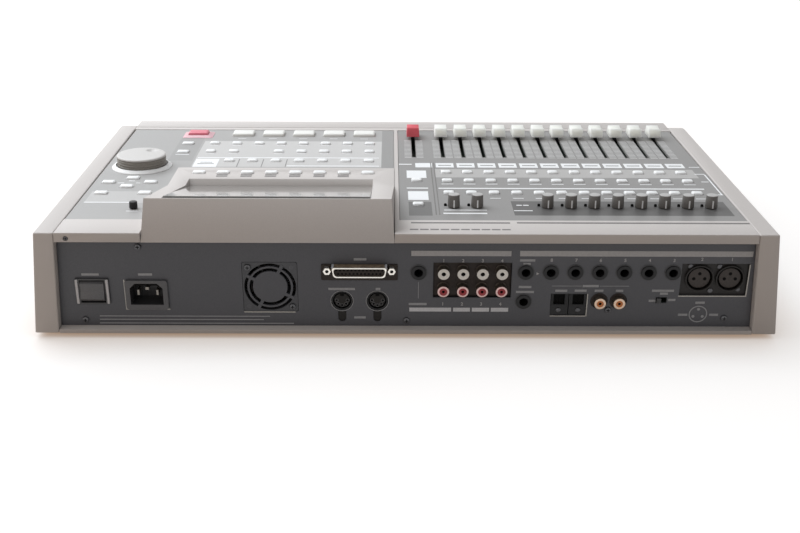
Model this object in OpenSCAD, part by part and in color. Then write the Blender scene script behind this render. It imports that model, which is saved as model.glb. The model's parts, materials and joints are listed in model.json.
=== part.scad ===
// Digital multitrack recorder: a desktop mixer and hard-disk recorder in one case.
// +X is the user's right, +Y the rear with the sockets, +Z up. All sizes in millimetres.
// The origin is on the table, under the middle of the case.

/* [Case] */
// Width over the cheeks at the table
case_w = 550; // [548:1:620]
// Depth from the nose to the rear of the cheeks
case_d = 340; // [339:1:400]
// Height of the cheeks' rear above the tray's underside
cheek_h = 81; // [80:1:100]
// Fall of the deck towards the user, in degrees
deck_tilt = 4; // [3.5:0.1:5]
// Width of a cheek's top edge
cheek_top_w = 14.4; // [12:0.1:15]
// How far a cheek's outer side leans in over its height
cheek_lean = 8.3; // [4:0.1:9]
// How far a cheek's inner side leans in over its height
cheek_inner_lean = 5; // [2:0.1:6]
// Radius of a cheek's front end
cheek_nose_r = 47.3; // [35:0.1:50]
// Wall of a cheek
cheek_wall = 3; // [2:0.1:5]
// Wall of the cover and of the hood
wall = 2.5; // [2:0.1:3.5]
// Radius of the cover's nose
nose_r = 24.7; // [18:0.1:28]
// How far the front leans back from the nose to the table
undercut = 10; // [0:0.5:16]
// Height of the cover's rear lip
lip_h = 7.2; // [5:0.1:9]
// Depth of the rear ledge
ledge_d = 30.6; // [28:0.1:32]
// Depth of the front band, from the panels to the nose's front
front_band = 51.2; // [46:0.1:52]
// Distance from the nose's front to the groove in the front band
groove_pos = 43; // [38:0.1:44]
// Width and depth of that groove
groove = 1.2; // [0.6:0.1:2]
// Width of the rib between the two panels
rib_w = 3.5; // [3:0.1:4.5]
// Distance of the rib's middle from the case's middle
rib_x = 7.25; // [7:0.05:7.6]
// Thickness of the bottom tray
tray_t = 3; // [2:0.1:4]
// Height of the tray's side flanges
flange_h = 14; // [10:1:24]
// Height of the rubber feet
foot_h = 4; // [3:0.1:10]
// Diameter of a rubber foot
foot_dia = 18; // [14:1:24]
// Distance of the feet from the case's ends
foot_inset = 60; // [45:1:90]

/* [Deck panels] */
// Thickness of a deck panel
panel_t = 2; // [1.5:0.1:2.4]
// How far the panels lie below the deck's frame
panel_drop = 0.4; // [0.2:0.1:0.8]
// Width of the step that carries the panels
rail_w = 2.2; // [1.5:0.1:2.4]
// Depth of the circuit boards below the deck
board_drop = 11; // [10.8:0.1:13]
// Thickness of a circuit board
board_t = 1.6; // [1:0.1:2]
// Diameter of the posts between board and panel
post_dia = 5; // [4:0.1:5.4]

/* [Display hood] */
// Width of the hood
hood_w = 181.5; // [176:0.5:182]
// Depth of the hood on the deck
hood_d = 162.4; // [160:0.1:164]
// Height of the hood above the deck's rear edge
hood_rise = 22; // [20:0.5:32]
// How far the hood's rear face leans forward
hood_lean = 12; // [8:0.5:16]
// How far each side of the hood leans in
hood_draft = 2.3; // [0:0.1:3]
// Height of the hood's key strip above the deck
strip_rise = 0.5; // [0.2:0.1:1.5]
// Distance from the hood's front edge to the foot of its rising rims
ramp_pos = 50; // [44:0.5:60]
// Width of the display window
window_w = 150; // [120:1:152]
// Middle of the window from the case's middle
window_x = 101.4; // [99:0.1:102]
// Distance of the window from the hood's front edge
window_pos = 32; // [30:0.5:40]
// Depth of the glass below the key strip, at the window's front
window_deep = 4.7; // [3:0.1:6]
// Run of the sloped wall at the window's front
window_run = 3.2; // [0:0.1:4]
// Depth of the glass below the hood's top, at the window's rear
glass_drop = 1.5; // [1:0.1:4]
// Thickness of the display's glass
glass_t = 1.5; // [1:0.1:2]
// Width of the finger gap behind the glass
finger_gap = 5.5; // [4:0.1:8]
// Thickness of the display module
display_t = 10; // [6:0.5:12]
// Margin of the display's case round the window
display_rim = 3; // [2:0.5:5]

/* [Keys] */
// Width of a function or cursor key
key_w = 10.2; // [8:0.1:10.6]
// Width of a key in the control and mixer rows
row_key_w = 8.4; // [7:0.1:10]
// Length of a small key
key_l = 6; // [4.8:0.1:7]
// Height of a small key above the panel
key_h = 1.8; // [1.4:0.1:4]
// Pitch of the control keys
key_pitch = 20; // [17:0.1:20.4]
// First control key from the case's middle
key_x = 31; // [29:0.5:32]
// Distances of the three control key rows from the deck's rear edge
control_rows = [186, 215, 241.6];
// Distance of the function keys from the hood's front edge
function_pos = 15; // [12:0.5:18]
// Travel of a small key
key_travel = 0.8; // [0.5:0.1:1.2]
// Width of a transport key
transport_w = 19.5; // [16:0.1:21]
// Length of a transport key
transport_l = 14; // [10:0.1:14.4]
// Height of a transport key above the panel
transport_h = 2.8; // [2:0.1:6]
// Pitch of the transport keys
transport_pitch = 28; // [26:0.1:28.4]
// First transport key from the case's middle
transport_x = 36.5; // [35:0.5:38]
// Distance of the transport keys from the deck's rear edge
transport_row = 273.5; // [271:0.1:278]
// Travel of a transport key
transport_travel = 1.4; // [0.8:0.1:1.5]
// Middle of the record key from the case's middle
record_x = 189.8; // [187:0.1:194]
// Width of the record key
record_w = 18; // [15:0.1:21]
// Length of the record key
record_l = 11.5; // [10:0.1:12.5]
// Height of the record key above the panel
record_h = 4; // [3:0.1:6]
// Distance of the record key from the deck's rear edge
record_row = 270.5; // [269:0.1:274]
// Width of the frame round the record key
record_rim = 4.6; // [2:0.1:5]

/* [Faders] */
// Pitch of the channels
channel_pitch = 17.9; // [16.5:0.1:18.5]
// First channel from the case's middle
channel_x = 34; // [33:0.1:35]
// Master channel from the case's middle
master_x = 8.5; // [8:0.1:9]
// Number of channels
channels = 12; // [12:1:12]
// Travel of a fader
fader_travel = 60; // [45:1:62]
// Distance of a fader at rest from the deck's rear edge
fader_row = 264.6; // [262:0.1:266]
// Width of a fader cap
cap_w = 12; // [9:0.1:13]
// Length of a fader cap
cap_l = 18; // [16:0.1:24]
// Height of a fader cap
cap_h = 7.8; // [6:0.1:12]
// Depth of the saddle in a fader cap
cap_dip = 1.4; // [1:0.1:2]
// Clear height under a fader cap
cap_lift = 3; // [1:0.1:4]
// Thickness of a fader's stem
stem_t = 2.8; // [1.2:0.1:3.2]
// Length of a fader's stem
stem_l = 6; // [4:0.1:8]
// Spare length at each end of a fader's slot
slot_spare = 2.5; // [1:0.1:4]
// Width of a fader's track
track_w = 9; // [7:0.1:11]
// Wall at each end of a fader's track
track_end = 5; // [3:0.1:7]

/* [Knobs and dial] */
// Diameter of a knob at its foot
knob_dia = 9.4; // [8:0.1:11]
// Diameter of a knob at its top
knob_top = 8.6; // [7:0.1:9]
// Height of a knob above the panel
knob_h = 10.2; // [8:0.1:15]
// Distance of the knobs from the deck's rear edge
knob_row = 62.6; // [60:0.1:72]
// How far the knobs stand to the left of their channels
knob_shift = 2.1; // [0:0.1:4]
// Diameter of a knob's shaft
shaft_dia = 6; // [4:0.1:6.4]
// Side of a potentiometer's body
pot_w = 10; // [9:0.1:12]
// Diameter of the contrast knob
contrast_dia = 6.4; // [5:0.1:8]
// Height of the contrast knob
contrast_h = 5.8; // [5:0.1:10]
// Contrast knob from the case's middle
contrast_x = 206.5; // [205:0.5:212]
// Contrast knob from the deck's rear edge
contrast_row = 56.5; // [54:0.5:75]
// Diameter of the jog dial
dial_dia = 41; // [34:0.1:41]
// Height of the jog dial above the panel
dial_h = 11.2; // [8:0.1:16]
// Jog dial from the case's middle
dial_x = 222.3; // [221:0.1:224]
// Jog dial from the deck's rear edge
dial_row = 168.7; // [167:0.1:173]
// Outer diameter of the ring round the dial
ring_dia = 49.6; // [46:0.1:51]
// Height of that ring
ring_h = 2.4; // [1:0.1:3]
// Diameter of the ball that makes the dial's finger dimple
dimple_dia = 14; // [8:0.1:16]
// Distance of the dimple from the dial's middle
dimple_pos = 12.6; // [11:0.1:13.5]

/* [Rear panel] */
// Depth of the rear panel behind the cheeks' rear edge
recess = 7; // [5:0.1:9]
// Thickness of the rear panel
sheet_t = 1.6; // [1:0.1:2]
// Power switch from the case's middle
switch_x = 230.5; // [229:0.1:232]
// Power switch above the tray's underside
switch_z = 31.7; // [28:0.1:40]
// Width of the power switch's frame
switch_w = 24.6; // [24.5:0.1:28]
// Height of the power switch's frame
switch_tall = 20.8; // [20.6:0.1:24]
// Width of the rocker
rocker_w = 17.5; // [15:0.1:18]
// Radius of the rocker's ends about its pivot
rocker_r = 8.8; // [7:0.1:9]
// Swing of the rocker, in degrees
rocker_swing = 16; // [10:0.5:18]
// Mains inlet from the case's middle
inlet_x = 191; // [189:0.1:193]
// Mains inlet above the tray's underside
inlet_z = 29; // [26:0.1:36]
// Width of the mains inlet's flange
inlet_w = 31; // [30:0.1:34]
// Height of the mains inlet's flange
inlet_tall = 23.4; // [22.4:0.1:28]
// Depth of the mains inlet's cavity
inlet_depth = 16; // [14:0.1:20]
// Fan from the case's middle
fan_x = 100.3; // [96:0.1:106]
// Fan above the tray's underside
fan_z = 35.2; // [32:0.1:40]
// Side of the fan's frame
fan_w = 40; // [36:0.1:42]
// Depth of the fan's frame
fan_depth = 14; // [11:0.1:20]

/* [Sockets] */
// Parallel port from the case's middle
port_x = 34.7; // [32:0.1:37]
// Parallel port above the tray's underside
port_z = 50.2; // [45:0.1:52]
// Distance between the port's screwlocks
port_screws = 47.04; // [47:0.01:50]
// Middle between the two round sockets from the case's middle
din_x = 34.7; // [33:0.1:36]
// Distance between the two round sockets
din_pitch = 26.1; // [24:0.1:30]
// Round sockets above the tray's underside
din_z = 23.9; // [22:0.1:25]
// Diameter of a round socket
din_dia = 15.6; // [14:0.1:16.4]
// Bore of a phone jack
jack_bore = 6.5; // [6.4:0.01:6.6]
// Diameter of a phone jack's nut
jack_nut = 11; // [10:0.1:12.5]
// Height of the jack row above the tray's underside
jack_row = 47.8; // [45:0.1:52]
// First input jack from the case's middle
input_x = 105.3; // [104:0.1:107]
// Pitch of the input jacks
input_pitch = 17.9; // [17.4:0.1:18.4]
// Diameter of a phono socket's barrel
phono_dia = 8.3; // [8.2:0.01:8.4]
// Length of a phono socket's barrel
phono_l = 5; // [4:0.1:8]
// First phono socket from the case's middle
phono_x = 26.7; // [26:0.1:27.4]
// Pitch of the phono sockets
phono_pitch = 14.2; // [13:0.1:14.6]
// Lower phono row above the tray's underside
phono_z = 34; // [32:0.1:35]
// Middle of the two microphone sockets from the case's middle
mic_x = 226; // [225:0.1:227]
// Distance between the microphone sockets
mic_pitch = 22.5; // [21.8:0.1:23]
// Microphone sockets above the tray's underside
mic_z = 43; // [41:0.1:46]
// Diameter of a microphone socket
mic_dia = 21; // [18:0.1:21.4]
// Middle of the optical sockets from the case's middle
optical_x = 119.9; // [118:0.1:121]
// Distance between the optical sockets
optical_pitch = 14.2; // [13:0.1:15]
// Optical sockets above the tray's underside
optical_z = 25.3; // [24:0.1:26.5]
// Side of an optical socket's mouth
optical_w = 8.4; // [7:0.1:9]
// Phantom switch from the case's middle
phantom_x = 188.4; // [186:0.1:190]
// Phantom switch above the tray's underside
phantom_z = 25.1; // [22:0.1:27]
// Travel of the phantom switch
phantom_travel = 4; // [3:0.1:5]

/* [Fits] */
// Clearance between fixed pieces
fit_gap = 0.3; // [0.1:0.05:0.5]
// Clearance round a key or stem that moves
move_gap = 0.35; // [0.3:0.05:0.5]
// Radial clearance of a shaft in its bush
shaft_gap = 0.05; // [0.02:0.01:0.1]

/* [Hidden] */
$fn = 64;

// Case planes and edges
rear = case_d / 2;
deck_z = foot_h + cheek_h;
inner_top = case_w / 2 - cheek_lean - cheek_top_w;
lip_z = deck_z - lip_h;
tray_top = foot_h + tray_t;
rear_y = rear - recess;
sheet_back = rear_y - sheet_t;
panel_front = (case_d - front_band) / cos(deck_tilt);
panel_side = inner_top - 0.5;
rib_lo = rib_x - rib_w / 2;
rib_hi = rib_x + rib_w / 2;
under_panel = panel_drop + panel_t;

// Hood planes
hood_lo = rib_hi + fit_gap / 2;
hood_hi = hood_lo + hood_w;
hood_top = deck_z + hood_rise;
hood_back = rear - hood_lean;
hood_front = deck_point(hood_d, strip_rise);
hood_low = hood_front[1] - under_panel - 4;
ramp_foot = deck_point(hood_d - ramp_pos, strip_rise);
ramp_tilt = atan2(hood_top - ramp_foot[1], hood_back - ramp_foot[0]);
function_row = hood_d - function_pos;

// Display glass, from the window's front edge to the finger gap, as [y, z]
window_lo = window_x - window_w / 2;
window_hi = window_x + window_w / 2;
glass_front = deck_point(hood_d - window_pos, strip_rise) + [window_run, -window_deep];
glass_rear = [hood_back - wall - finger_gap, hood_top - glass_drop];
glass_tilt = atan2(glass_rear[1] - glass_front[1], glass_rear[0] - glass_front[0]);
glass_l = norm(glass_rear - glass_front);

// Keys and switches
collar = 0.9;
collar_t = 0.8;
switch_body = 6;
switch_h = board_drop - under_panel - fit_gap - collar_t - transport_travel - 0.7;
well = switch_h - 1.2;
pin_w = 3;
pin_end = board_drop - switch_h + 2;
key_round = 0.8;
corner_steps = 4;

// Key places as [x, distance from the deck's rear edge]
control_places = concat(
    [for (k = [0:6]) [key_x + key_pitch * k, control_rows[0]]],
    [for (k = [0:7]) if (k != 5) [key_x + key_pitch * k, control_rows[1]]],
    [for (k = [0:7]) [key_x + key_pitch * k, control_rows[2]]]);
cursor_places = [[195, 240.1], [195, 212.5], [222.6, 133.5], [239.9, 121.8], [206.3, 122.2],
                 [223.1, 110.7], [239.6, 93.5], [205.4, 93.9]];
mixer_rows = [97.2, 129.3, 153.4];
master_rows = [68.2, 130.3];
mixer_places = concat(
    [for (row = mixer_rows) for (k = [0:channels - 1]) [channel_place(k), row]],
    [for (row = master_rows) [-master_x - 0.6, row]]);
knob_channels = [0, 1, 4, 5, 6, 7, 8, 9, 10, 11];

// Posts between the boards and the panels, as [x, distance from the deck's rear edge]
control_posts = [[16, 176], [16, 270], [244.5, 272], [244.5, 42], [199, 42]];
mixer_posts = [[-21, 45], [-21, 281], [-244.5, 45], [-244.5, 281], [-140, 45]];

// Sizes of bought-in sockets and fasteners
jack_deep = 22;
jack_bush = 9.4;
jack_body = [11, 15];
jack_proud = 1.6;
port_flange = [55.6, 12.5, 0.8];
port_shell = [40.4, 7.6, 7.4];
port_slant = 10;
port_drop = 2.6;
phono_cut = [57.5, 28.5];
phono_back = 2.4;
mic_cut = [50, 26];
mic_margin = [-0.6, 5];
optical_cut = [27, 18];
screw_head = 5;
screw_shank = 2.8;
screw_l = 5;
head_t = 1.4;
screw_sink = head_t + 0.2;

function channel_place(k) = -channel_x - channel_pitch * k;

// Inner and outer side of a cheek at a height
function inner_x(z) = inner_top + cheek_inner_lean * (deck_z - z) / cheek_h;
function outer_x(z) = case_w / 2 - cheek_lean * (z - foot_h) / cheek_h;

// Place on the deck as [y, z]: distance from the rear edge, height above the deck
function deck_point(row, up) = [rear - row * cos(deck_tilt) - up * sin(deck_tilt),
                                deck_z - row * sin(deck_tilt) + up * cos(deck_tilt)];

// Height of the deck at a depth, lowered square to it
function top_z(y, lower = 0) = deck_z - (rear - y) * tan(deck_tilt) - lower / cos(deck_tilt);

// Side outline from the rear foot over the deck and round the nose to the front foot
function side_outline(r, inset, rear_low, front_low, steps = 14) =
    let (cy = -rear + r, cz = top_z(cy, r))
    concat([[rear - inset, rear_low], [rear - inset, top_z(rear - inset, inset)]],
           [for (i = [0:steps]) let (a = 90 + deck_tilt + (90 - deck_tilt) * i / steps)
               [cy + (r - inset) * cos(a), cz + (r - inset) * sin(a)]],
           [[-rear + inset + undercut, front_low]]);

function backwards(list) = [for (i = [len(list) - 1:-1:0]) list[i]];

// Rectangle with round corners, about the origin
function round_rect(w, l, r) = [for (c = [0:3]) for (i = [0:corner_steps])
    let (a = 90 * c + 90 * i / corner_steps)
    [((c == 0 || c == 3) ? 1 : -1) * (w / 2 - r) + r * cos(a),
     (c < 2 ? 1 : -1) * (l / 2 - r) + r * sin(a)]];

// Carries a shape onto the deck: x, distance from the rear edge, height above the deck
module on_deck(x, row, up = 0) {
    translate([0, rear, deck_z]) rotate([deck_tilt, 0, 0]) translate([x, -row, up]) children();
}

// Carries a shape onto the display's glass: x, distance from its front edge, height above it
module on_glass(x, pos, up = 0) {
    translate([0, glass_front[0], glass_front[1]]) rotate([glass_tilt, 0, 0])
        translate([x, pos, up]) children();
}

// A flat shape in x and z made a slab that runs inward from a plane proud of the rear panel
module rear_slab(x, z, proud, deep) {
    translate([x, rear_y + proud, foot_h + z]) rotate([90, 0, 0]) linear_extrude(deep) children();
}

// A shape in y and z carried along x between two places
module side_slab(x0, x1) {
    translate([x0, 0, 0]) rotate([90, 0, 90]) linear_extrude(x1 - x0) children();
}

module rect(w, l, r = key_round) {
    polygon(round_rect(w, l, r));
}

// The room between the cheeks, less a gap
module between_cheeks(gap) {
    high = hood_top + 10;
    translate([0, case_d, 0]) rotate([90, 0, 0]) linear_extrude(2 * case_d)
        polygon([[inner_x(0) - gap, 0], [inner_x(high) - gap, high],
                 [gap - inner_x(high), high], [gap - inner_x(0), 0]]);
}

module bottom_tray() {
    front = -rear + undercut + wall + 1;
    color("#c9c5c0") {
        intersection() {
            between_cheeks(fit_gap);
            union() {
                translate([-case_w / 2, front, foot_h]) cube([case_w, rear - front, tray_t]);
                difference() {
                    translate([-case_w / 2, front, foot_h])
                        cube([case_w, sheet_back - fit_gap - front, flange_h]);
                    between_cheeks(fit_gap + sheet_t);
                }
            }
        }
        for (p = main_posts)
            translate([p[0], p[1], tray_top - 0.5]) cylinder(d = post_dia, h = main_lift + 0.5);
    }
}

module cheek() {
    low = foot_h - 1;
    high = deck_z + 1;
    color("#cfcac5") difference() {
        intersection() {
            side_slab(inner_top - 10, case_w / 2 + 10)
                polygon(side_outline(cheek_nose_r, 0, foot_h, foot_h));
            translate([0, case_d, 0]) rotate([90, 0, 0]) linear_extrude(2 * case_d)
                polygon([[inner_x(low), low], [outer_x(low), low],
                         [outer_x(high), high], [inner_x(high), high]]);
        }
        intersection() {
            side_slab(inner_top - 10, case_w / 2 + 10)
                polygon(side_outline(cheek_nose_r, cheek_wall, foot_h + cheek_wall, foot_h + cheek_wall));
            translate([0, case_d, 0]) rotate([90, 0, 0]) linear_extrude(2 * case_d)
                polygon([[inner_top - 9, low], [outer_x(low) - cheek_wall, low],
                         [outer_x(high) - cheek_wall, high], [inner_top - 9, high]]);
        }
    }
}

module left_cheek() {
    mirror([1, 0, 0]) cheek();
}

module right_cheek() {
    cheek();
}

// A plate on the deck between two places across and two rows
module deck_plate(x0, x1, row0, row1, low, high) {
    on_deck(x0, row1, low) cube([x1 - x0, row1 - row0, high - low]);
}

// The step below a panel, an open frame
module panel_step(x0, x1) {
    difference() {
        deck_plate(x0 - 3, x1 + 3, ledge_d - 3, panel_front + 3, -under_panel - wall, -under_panel);
        deck_plate(x0 + rail_w, x1 - rail_w, ledge_d + rail_w, panel_front - rail_w,
                   -under_panel - 2 * wall, 0);
    }
}

module top_cover() {
    front_low = tray_top + fit_gap;
    color("#d6d4d0") difference() {
        intersection() {
            between_cheeks(fit_gap);
            union() {
                difference() {
                    side_slab(-case_w / 2, case_w / 2)
                        polygon(concat(side_outline(nose_r, 0, lip_z, front_low),
                                       backwards(side_outline(nose_r, wall, lip_z, front_low))));
                    deck_plate(-case_w / 2, rib_lo, ledge_d, panel_front, -20, 20);
                    deck_plate(rib_hi, case_w / 2, ledge_d, panel_front, -20, 20);
                }
                panel_step(-panel_side, rib_lo);
                panel_step(rib_hi, panel_side);
            }
        }
        deck_plate(hood_lo - fit_gap / 2, hood_hi + fit_gap, -10, hood_d + fit_gap, -20, 20);
        deck_plate(-case_w / 2, case_w / 2, (case_d - groove_pos) / cos(deck_tilt) - groove / 2,
                   (case_d - groove_pos) / cos(deck_tilt) + groove / 2, -groove, 10);
        for (s = ledge_screws)
            translate([s, rear, ledge_screw_z]) rotate([90, 0, 0]) {
                translate([0, 0, -1]) cylinder(d = ledge_head + 2 * fit_gap, h = screw_sink + 1);
                translate([0, 0, -1]) cylinder(d = ledge_shank + 2 * fit_gap, h = screw_sink + screw_l + 2);
            }
    }
}

// Inner face of the hood's rear plate at a height, set in by a wall
function plate_y(z, inset) = rear - hood_lean * (z - lip_z) / (hood_top - lip_z)
    - inset / cos(atan(hood_lean / (hood_top - lip_z)));

// Side section of the hood, set in by a wall: key strip, rising rims and rear plate
module hood_section(inset, low) {
    strip_front = deck_point(hood_d, strip_rise - inset);
    strip_rear = deck_point(0, strip_rise - inset);
    ramp_low = ramp_foot[1] - inset / cos(ramp_tilt);
    ramp_high = ramp_low + (rear - ramp_foot[0]) * tan(ramp_tilt);
    intersection() {
        polygon([[plate_y(lip_z, inset), lip_z], [plate_y(hood_top, inset), hood_top],
                 [hood_front[0] + inset, hood_top], [hood_front[0] + inset, low],
                 [plate_y(lip_z, inset), low]]);
        union() {
            polygon([[strip_front[0], low], strip_front, strip_rear, [strip_rear[0], low]]);
            polygon([[ramp_foot[0], low], [ramp_foot[0], ramp_low], [rear, ramp_high], [rear, low]]);
        }
    }
}

// Room between the hood's sides, which lean in above the lip
module between_sides(gap) {
    translate([0, case_d, 0]) rotate([90, 0, 0]) linear_extrude(2 * case_d)
        polygon([[hood_lo + gap, 0], [hood_lo + gap, lip_z], [hood_lo + hood_draft + gap, hood_top],
                 [hood_hi - hood_draft - gap, hood_top], [hood_hi - gap, lip_z], [hood_hi - gap, 0]]);
}

// Side section over a plane at a depth below the glass, from a place ahead of the window to the rear
module over_glass(ahead, deep) {
    slope = tan(glass_tilt);
    start = glass_front - [ahead, ahead * slope + deep / cos(glass_tilt)];
    polygon([start, [rear, start[1] + (rear - start[0]) * slope], [rear, hood_top + wall],
             [start[0], hood_top + wall]]);
}

// Room over the display, with a sloped wall at the front
module window_room() {
    low = glass_front[1] - 3 * wall / cos(glass_tilt);
    polygon([[glass_front[0], low], [rear, low + (rear - glass_front[0]) * tan(glass_tilt)],
             [rear, hood_top + 4 * wall], glass_front + 4 * [-window_run, window_deep], glass_front]);
}

module display_hood() {
    color("#cdc8c2") difference() {
        intersection() {
            between_sides(0);
            side_slab(hood_lo, hood_hi) hood_section(0, hood_low);
        }
        difference() {
            intersection() {
                between_sides(wall);
                side_slab(hood_lo, hood_hi) hood_section(wall, hood_low - 1);
            }
            // The frame round the window reaches down to the display
            side_slab(window_lo - wall, window_hi + wall) over_glass(wall + window_run, glass_t + fit_gap);
        }
        side_slab(window_lo, window_hi) intersection() {
            window_room();
            polygon([[0, 0], [plate_y(0, wall), 0], [plate_y(hood_top, wall), hood_top],
                     [plate_y(hood_top, wall), hood_top + 2 * wall], [0, hood_top + 2 * wall]]);
        }
        // Pocket for the display's case
        on_glass(window_lo - display_rim - fit_gap, -display_rim - 2 * fit_gap, -glass_t - 2 * display_t)
            cube([window_w + 2 * (display_rim + fit_gap), glass_l + display_rim + 3 * fit_gap,
                  2 * display_t]);
        // Behind the rear panel's top the hood ends at the lip
        translate([hood_lo - 1, sheet_back - 5, hood_low - 1])
            cube([hood_w + 2, recess + 20, lip_z - hood_low + 1]);
        translate([hood_lo - 1, sheet_back - fit_gap, hood_low - 1])
            cube([hood_w + 2, sheet_t + 2 * fit_gap, sheet_top + fit_gap - hood_low + 1]);
        for (k = [0:7])
            on_deck(key_x + key_pitch * k, function_row, -3 * wall) linear_extrude(6 * wall)
                rect(key_w + 2 * move_gap, key_l + 2 * move_gap);
    }
}

module lcd_module() {
    color("#8d8f86") {
        on_glass(window_lo + fit_gap, fit_gap, -glass_t - 1)
            cube([window_w - 2 * fit_gap, glass_l - fit_gap, glass_t + 1]);
        on_glass(window_lo - display_rim, -display_rim, -glass_t - display_t)
            cube([window_w + 2 * display_rim, glass_l + display_rim, display_t - fit_gap]);
    }
}

// Clear hole for a key
module key_hole(place, w, l) {
    translate([place[0], -place[1]]) rect(w + 2 * move_gap, l + 2 * move_gap);
}

module control_panel() {
    color("#9fa0a3") {
        difference() {
            on_deck(0, 0, -under_panel) linear_extrude(panel_t) difference() {
                translate([rib_hi + fit_gap, -panel_front + fit_gap])
                    square([panel_side - rib_hi - fit_gap, panel_front - ledge_d - 2 * fit_gap]);
                translate([hood_lo - 1, -hood_d - fit_gap])
                    square([hood_w + 1 + fit_gap, hood_d]);
                for (p = control_places) key_hole(p, row_key_w, key_l);
                for (p = cursor_places) key_hole(p, key_w, key_l);
                for (k = [0:4])
                    key_hole([transport_x + transport_pitch * k, transport_row], transport_w, transport_l);
                key_hole([record_x, record_row], record_w, record_l);
                translate([dial_x, -dial_row]) circle(d = shaft_dia + 3);
                translate([contrast_x, -contrast_row]) circle(d = shaft_dia / 2 + 1.5);
            }
        }
        // Raised sloped ring round the dial
        on_deck(dial_x, dial_row, -panel_drop - 0.5) rotate_extrude()
            polygon([[dial_dia / 2 + 1, 0], [ring_dia / 2, 0], [ring_dia / 2, 0.7],
                     [dial_dia / 2 + 1.6, ring_h + 0.5], [dial_dia / 2 + 1, ring_h + 0.5]]);
        // Raised sloped frame round the record key
        on_deck(record_x, record_row, -panel_drop - 0.5) difference() {
            hull() {
                linear_extrude(0.7)
                    rect(record_w + 2 * record_rim, record_l + 2 * record_rim, 2 * key_round);
                linear_extrude(ring_h - 0.3) rect(record_w + 2, record_l + 2, key_round);
            }
            translate([0, 0, -1]) linear_extrude(ring_h + 3)
                rect(record_w + 2 * move_gap, record_l + 2 * move_gap);
        }
    }
}

slot_l = fader_travel + stem_l + 2 * slot_spare;
slot_w = stem_t + 2 * move_gap;
slot_mid = fader_row - fader_travel / 2;
fader_places = concat([-master_x], [for (k = [0:channels - 1]) channel_place(k)]);
knob_places = [for (k = knob_channels) channel_place(k) - knob_shift];

module mixer_panel() {
    color("#97989b") on_deck(0, 0, -under_panel) linear_extrude(panel_t) difference() {
        translate([-panel_side, -panel_front + fit_gap])
            square([panel_side + rib_lo - fit_gap, panel_front - ledge_d - 2 * fit_gap]);
        for (x = fader_places) translate([x, -slot_mid]) square([slot_w, slot_l], center = true);
        for (p = mixer_places) key_hole(p, row_key_w, key_l);
        for (x = knob_places) translate([x, -knob_row]) circle(d = shaft_dia + 1.5);
    }
}

// One key: cap through the panel, collar under it and a pin for its switch
module key_solid(w, l, h, surface = -panel_drop, skin = panel_t) {
    collar_top = surface - skin - fit_gap;
    translate([0, 0, collar_top - collar_t])
        linear_extrude(surface + h - collar_top + collar_t) rect(w, l);
    translate([0, 0, collar_top - collar_t])
        linear_extrude(collar_t) rect(w + 2 * collar, l + 2 * collar);
    translate([-pin_w / 2, -pin_w / 2, -pin_end]) cube([pin_w, pin_w, pin_end + collar_top - 0.1]);
}

// The switch under a key, a box with a square well for the key's pin
module key_switch() {
    well_w = pin_w + 2 * move_gap;
    translate([0, 0, -board_drop]) difference() {
        translate([-switch_body / 2, -switch_body / 2, -0.1])
            cube([switch_body, switch_body, switch_h + 0.1]);
        translate([-well_w / 2, -well_w / 2, switch_h - well]) cube([well_w, well_w, well + 1]);
    }
}

// The potentiometer or encoder under a knob, a box with a bush for the shaft
module pot(side, shaft, tall = 7) {
    translate([0, 0, -board_drop]) difference() {
        translate([-side / 2, -side / 2, -0.1]) cube([side, side, tall + 0.1]);
        translate([0, 0, 0.6]) cylinder(d = shaft + 2 * shaft_gap, h = tall + 1);
    }
}

module board_post() {
    translate([0, 0, -board_drop - 0.1]) cylinder(d = post_dia, h = board_drop - under_panel + 0.1);
}

module control_board() {
    edge = 3;
    color("#3d6b4a") {
        on_deck(0, 0, -board_drop - board_t) linear_extrude(board_t) difference() {
            translate([rib_hi + edge, -panel_front + edge])
                square([panel_side - rib_hi - 2 * edge, panel_front - ledge_d - 2 * edge]);
            translate([0, -hood_d - edge]) square([hood_hi + edge, hood_d + edge]);
        }
        for (p = control_places) on_deck(p[0], p[1]) key_switch();
        for (p = cursor_places) on_deck(p[0], p[1]) key_switch();
        for (k = [0:4]) on_deck(transport_x + transport_pitch * k, transport_row) key_switch();
        on_deck(record_x, record_row) key_switch();
        on_deck(dial_x, dial_row) pot(14, shaft_dia);
        on_deck(contrast_x, contrast_row) pot(8, shaft_dia / 2);
        for (p = control_posts) on_deck(p[0], p[1]) board_post();
        // The function keys' own strip, held under the hood's key strip
        on_deck(key_x - key_pitch / 2 - edge, function_row + pot_w / 2, -board_drop - board_t)
            cube([8 * key_pitch + 2 * edge, pot_w, board_t]);
        for (k = [0:7]) on_deck(key_x + key_pitch * k, function_row) key_switch();
        for (k = [0, 8])
            on_deck(key_x - key_pitch / 2 + key_pitch * k, function_row, -board_drop - 0.1)
                cylinder(d = post_dia, h = board_drop + strip_rise - wall + 0.1);
    }
}

module fader_track(x) {
    tall = board_drop - under_panel - 1.6;
    long = slot_l + 2 * track_end;
    on_deck(x, slot_mid, -board_drop) difference() {
        translate([-track_w / 2, -long / 2, -0.1]) cube([track_w, long, tall + 0.1]);
        translate([-slot_w / 2, -slot_l / 2, 0.8]) cube([slot_w, slot_l, tall]);
    }
}

module mixer_board() {
    edge = 3;
    color("#3d6b4a") {
        deck_plate(-panel_side + edge, rib_lo - edge, ledge_d + edge, panel_front - edge,
                   -board_drop - board_t, -board_drop);
        for (p = mixer_places) on_deck(p[0], p[1]) key_switch();
        for (x = fader_places) fader_track(x);
        for (x = knob_places) on_deck(x, knob_row) pot(pot_w, shaft_dia);
        for (p = mixer_posts) on_deck(p[0], p[1]) board_post();
    }
}

sheet_top = top_z(sheet_back, wall) - fit_gap;

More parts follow.
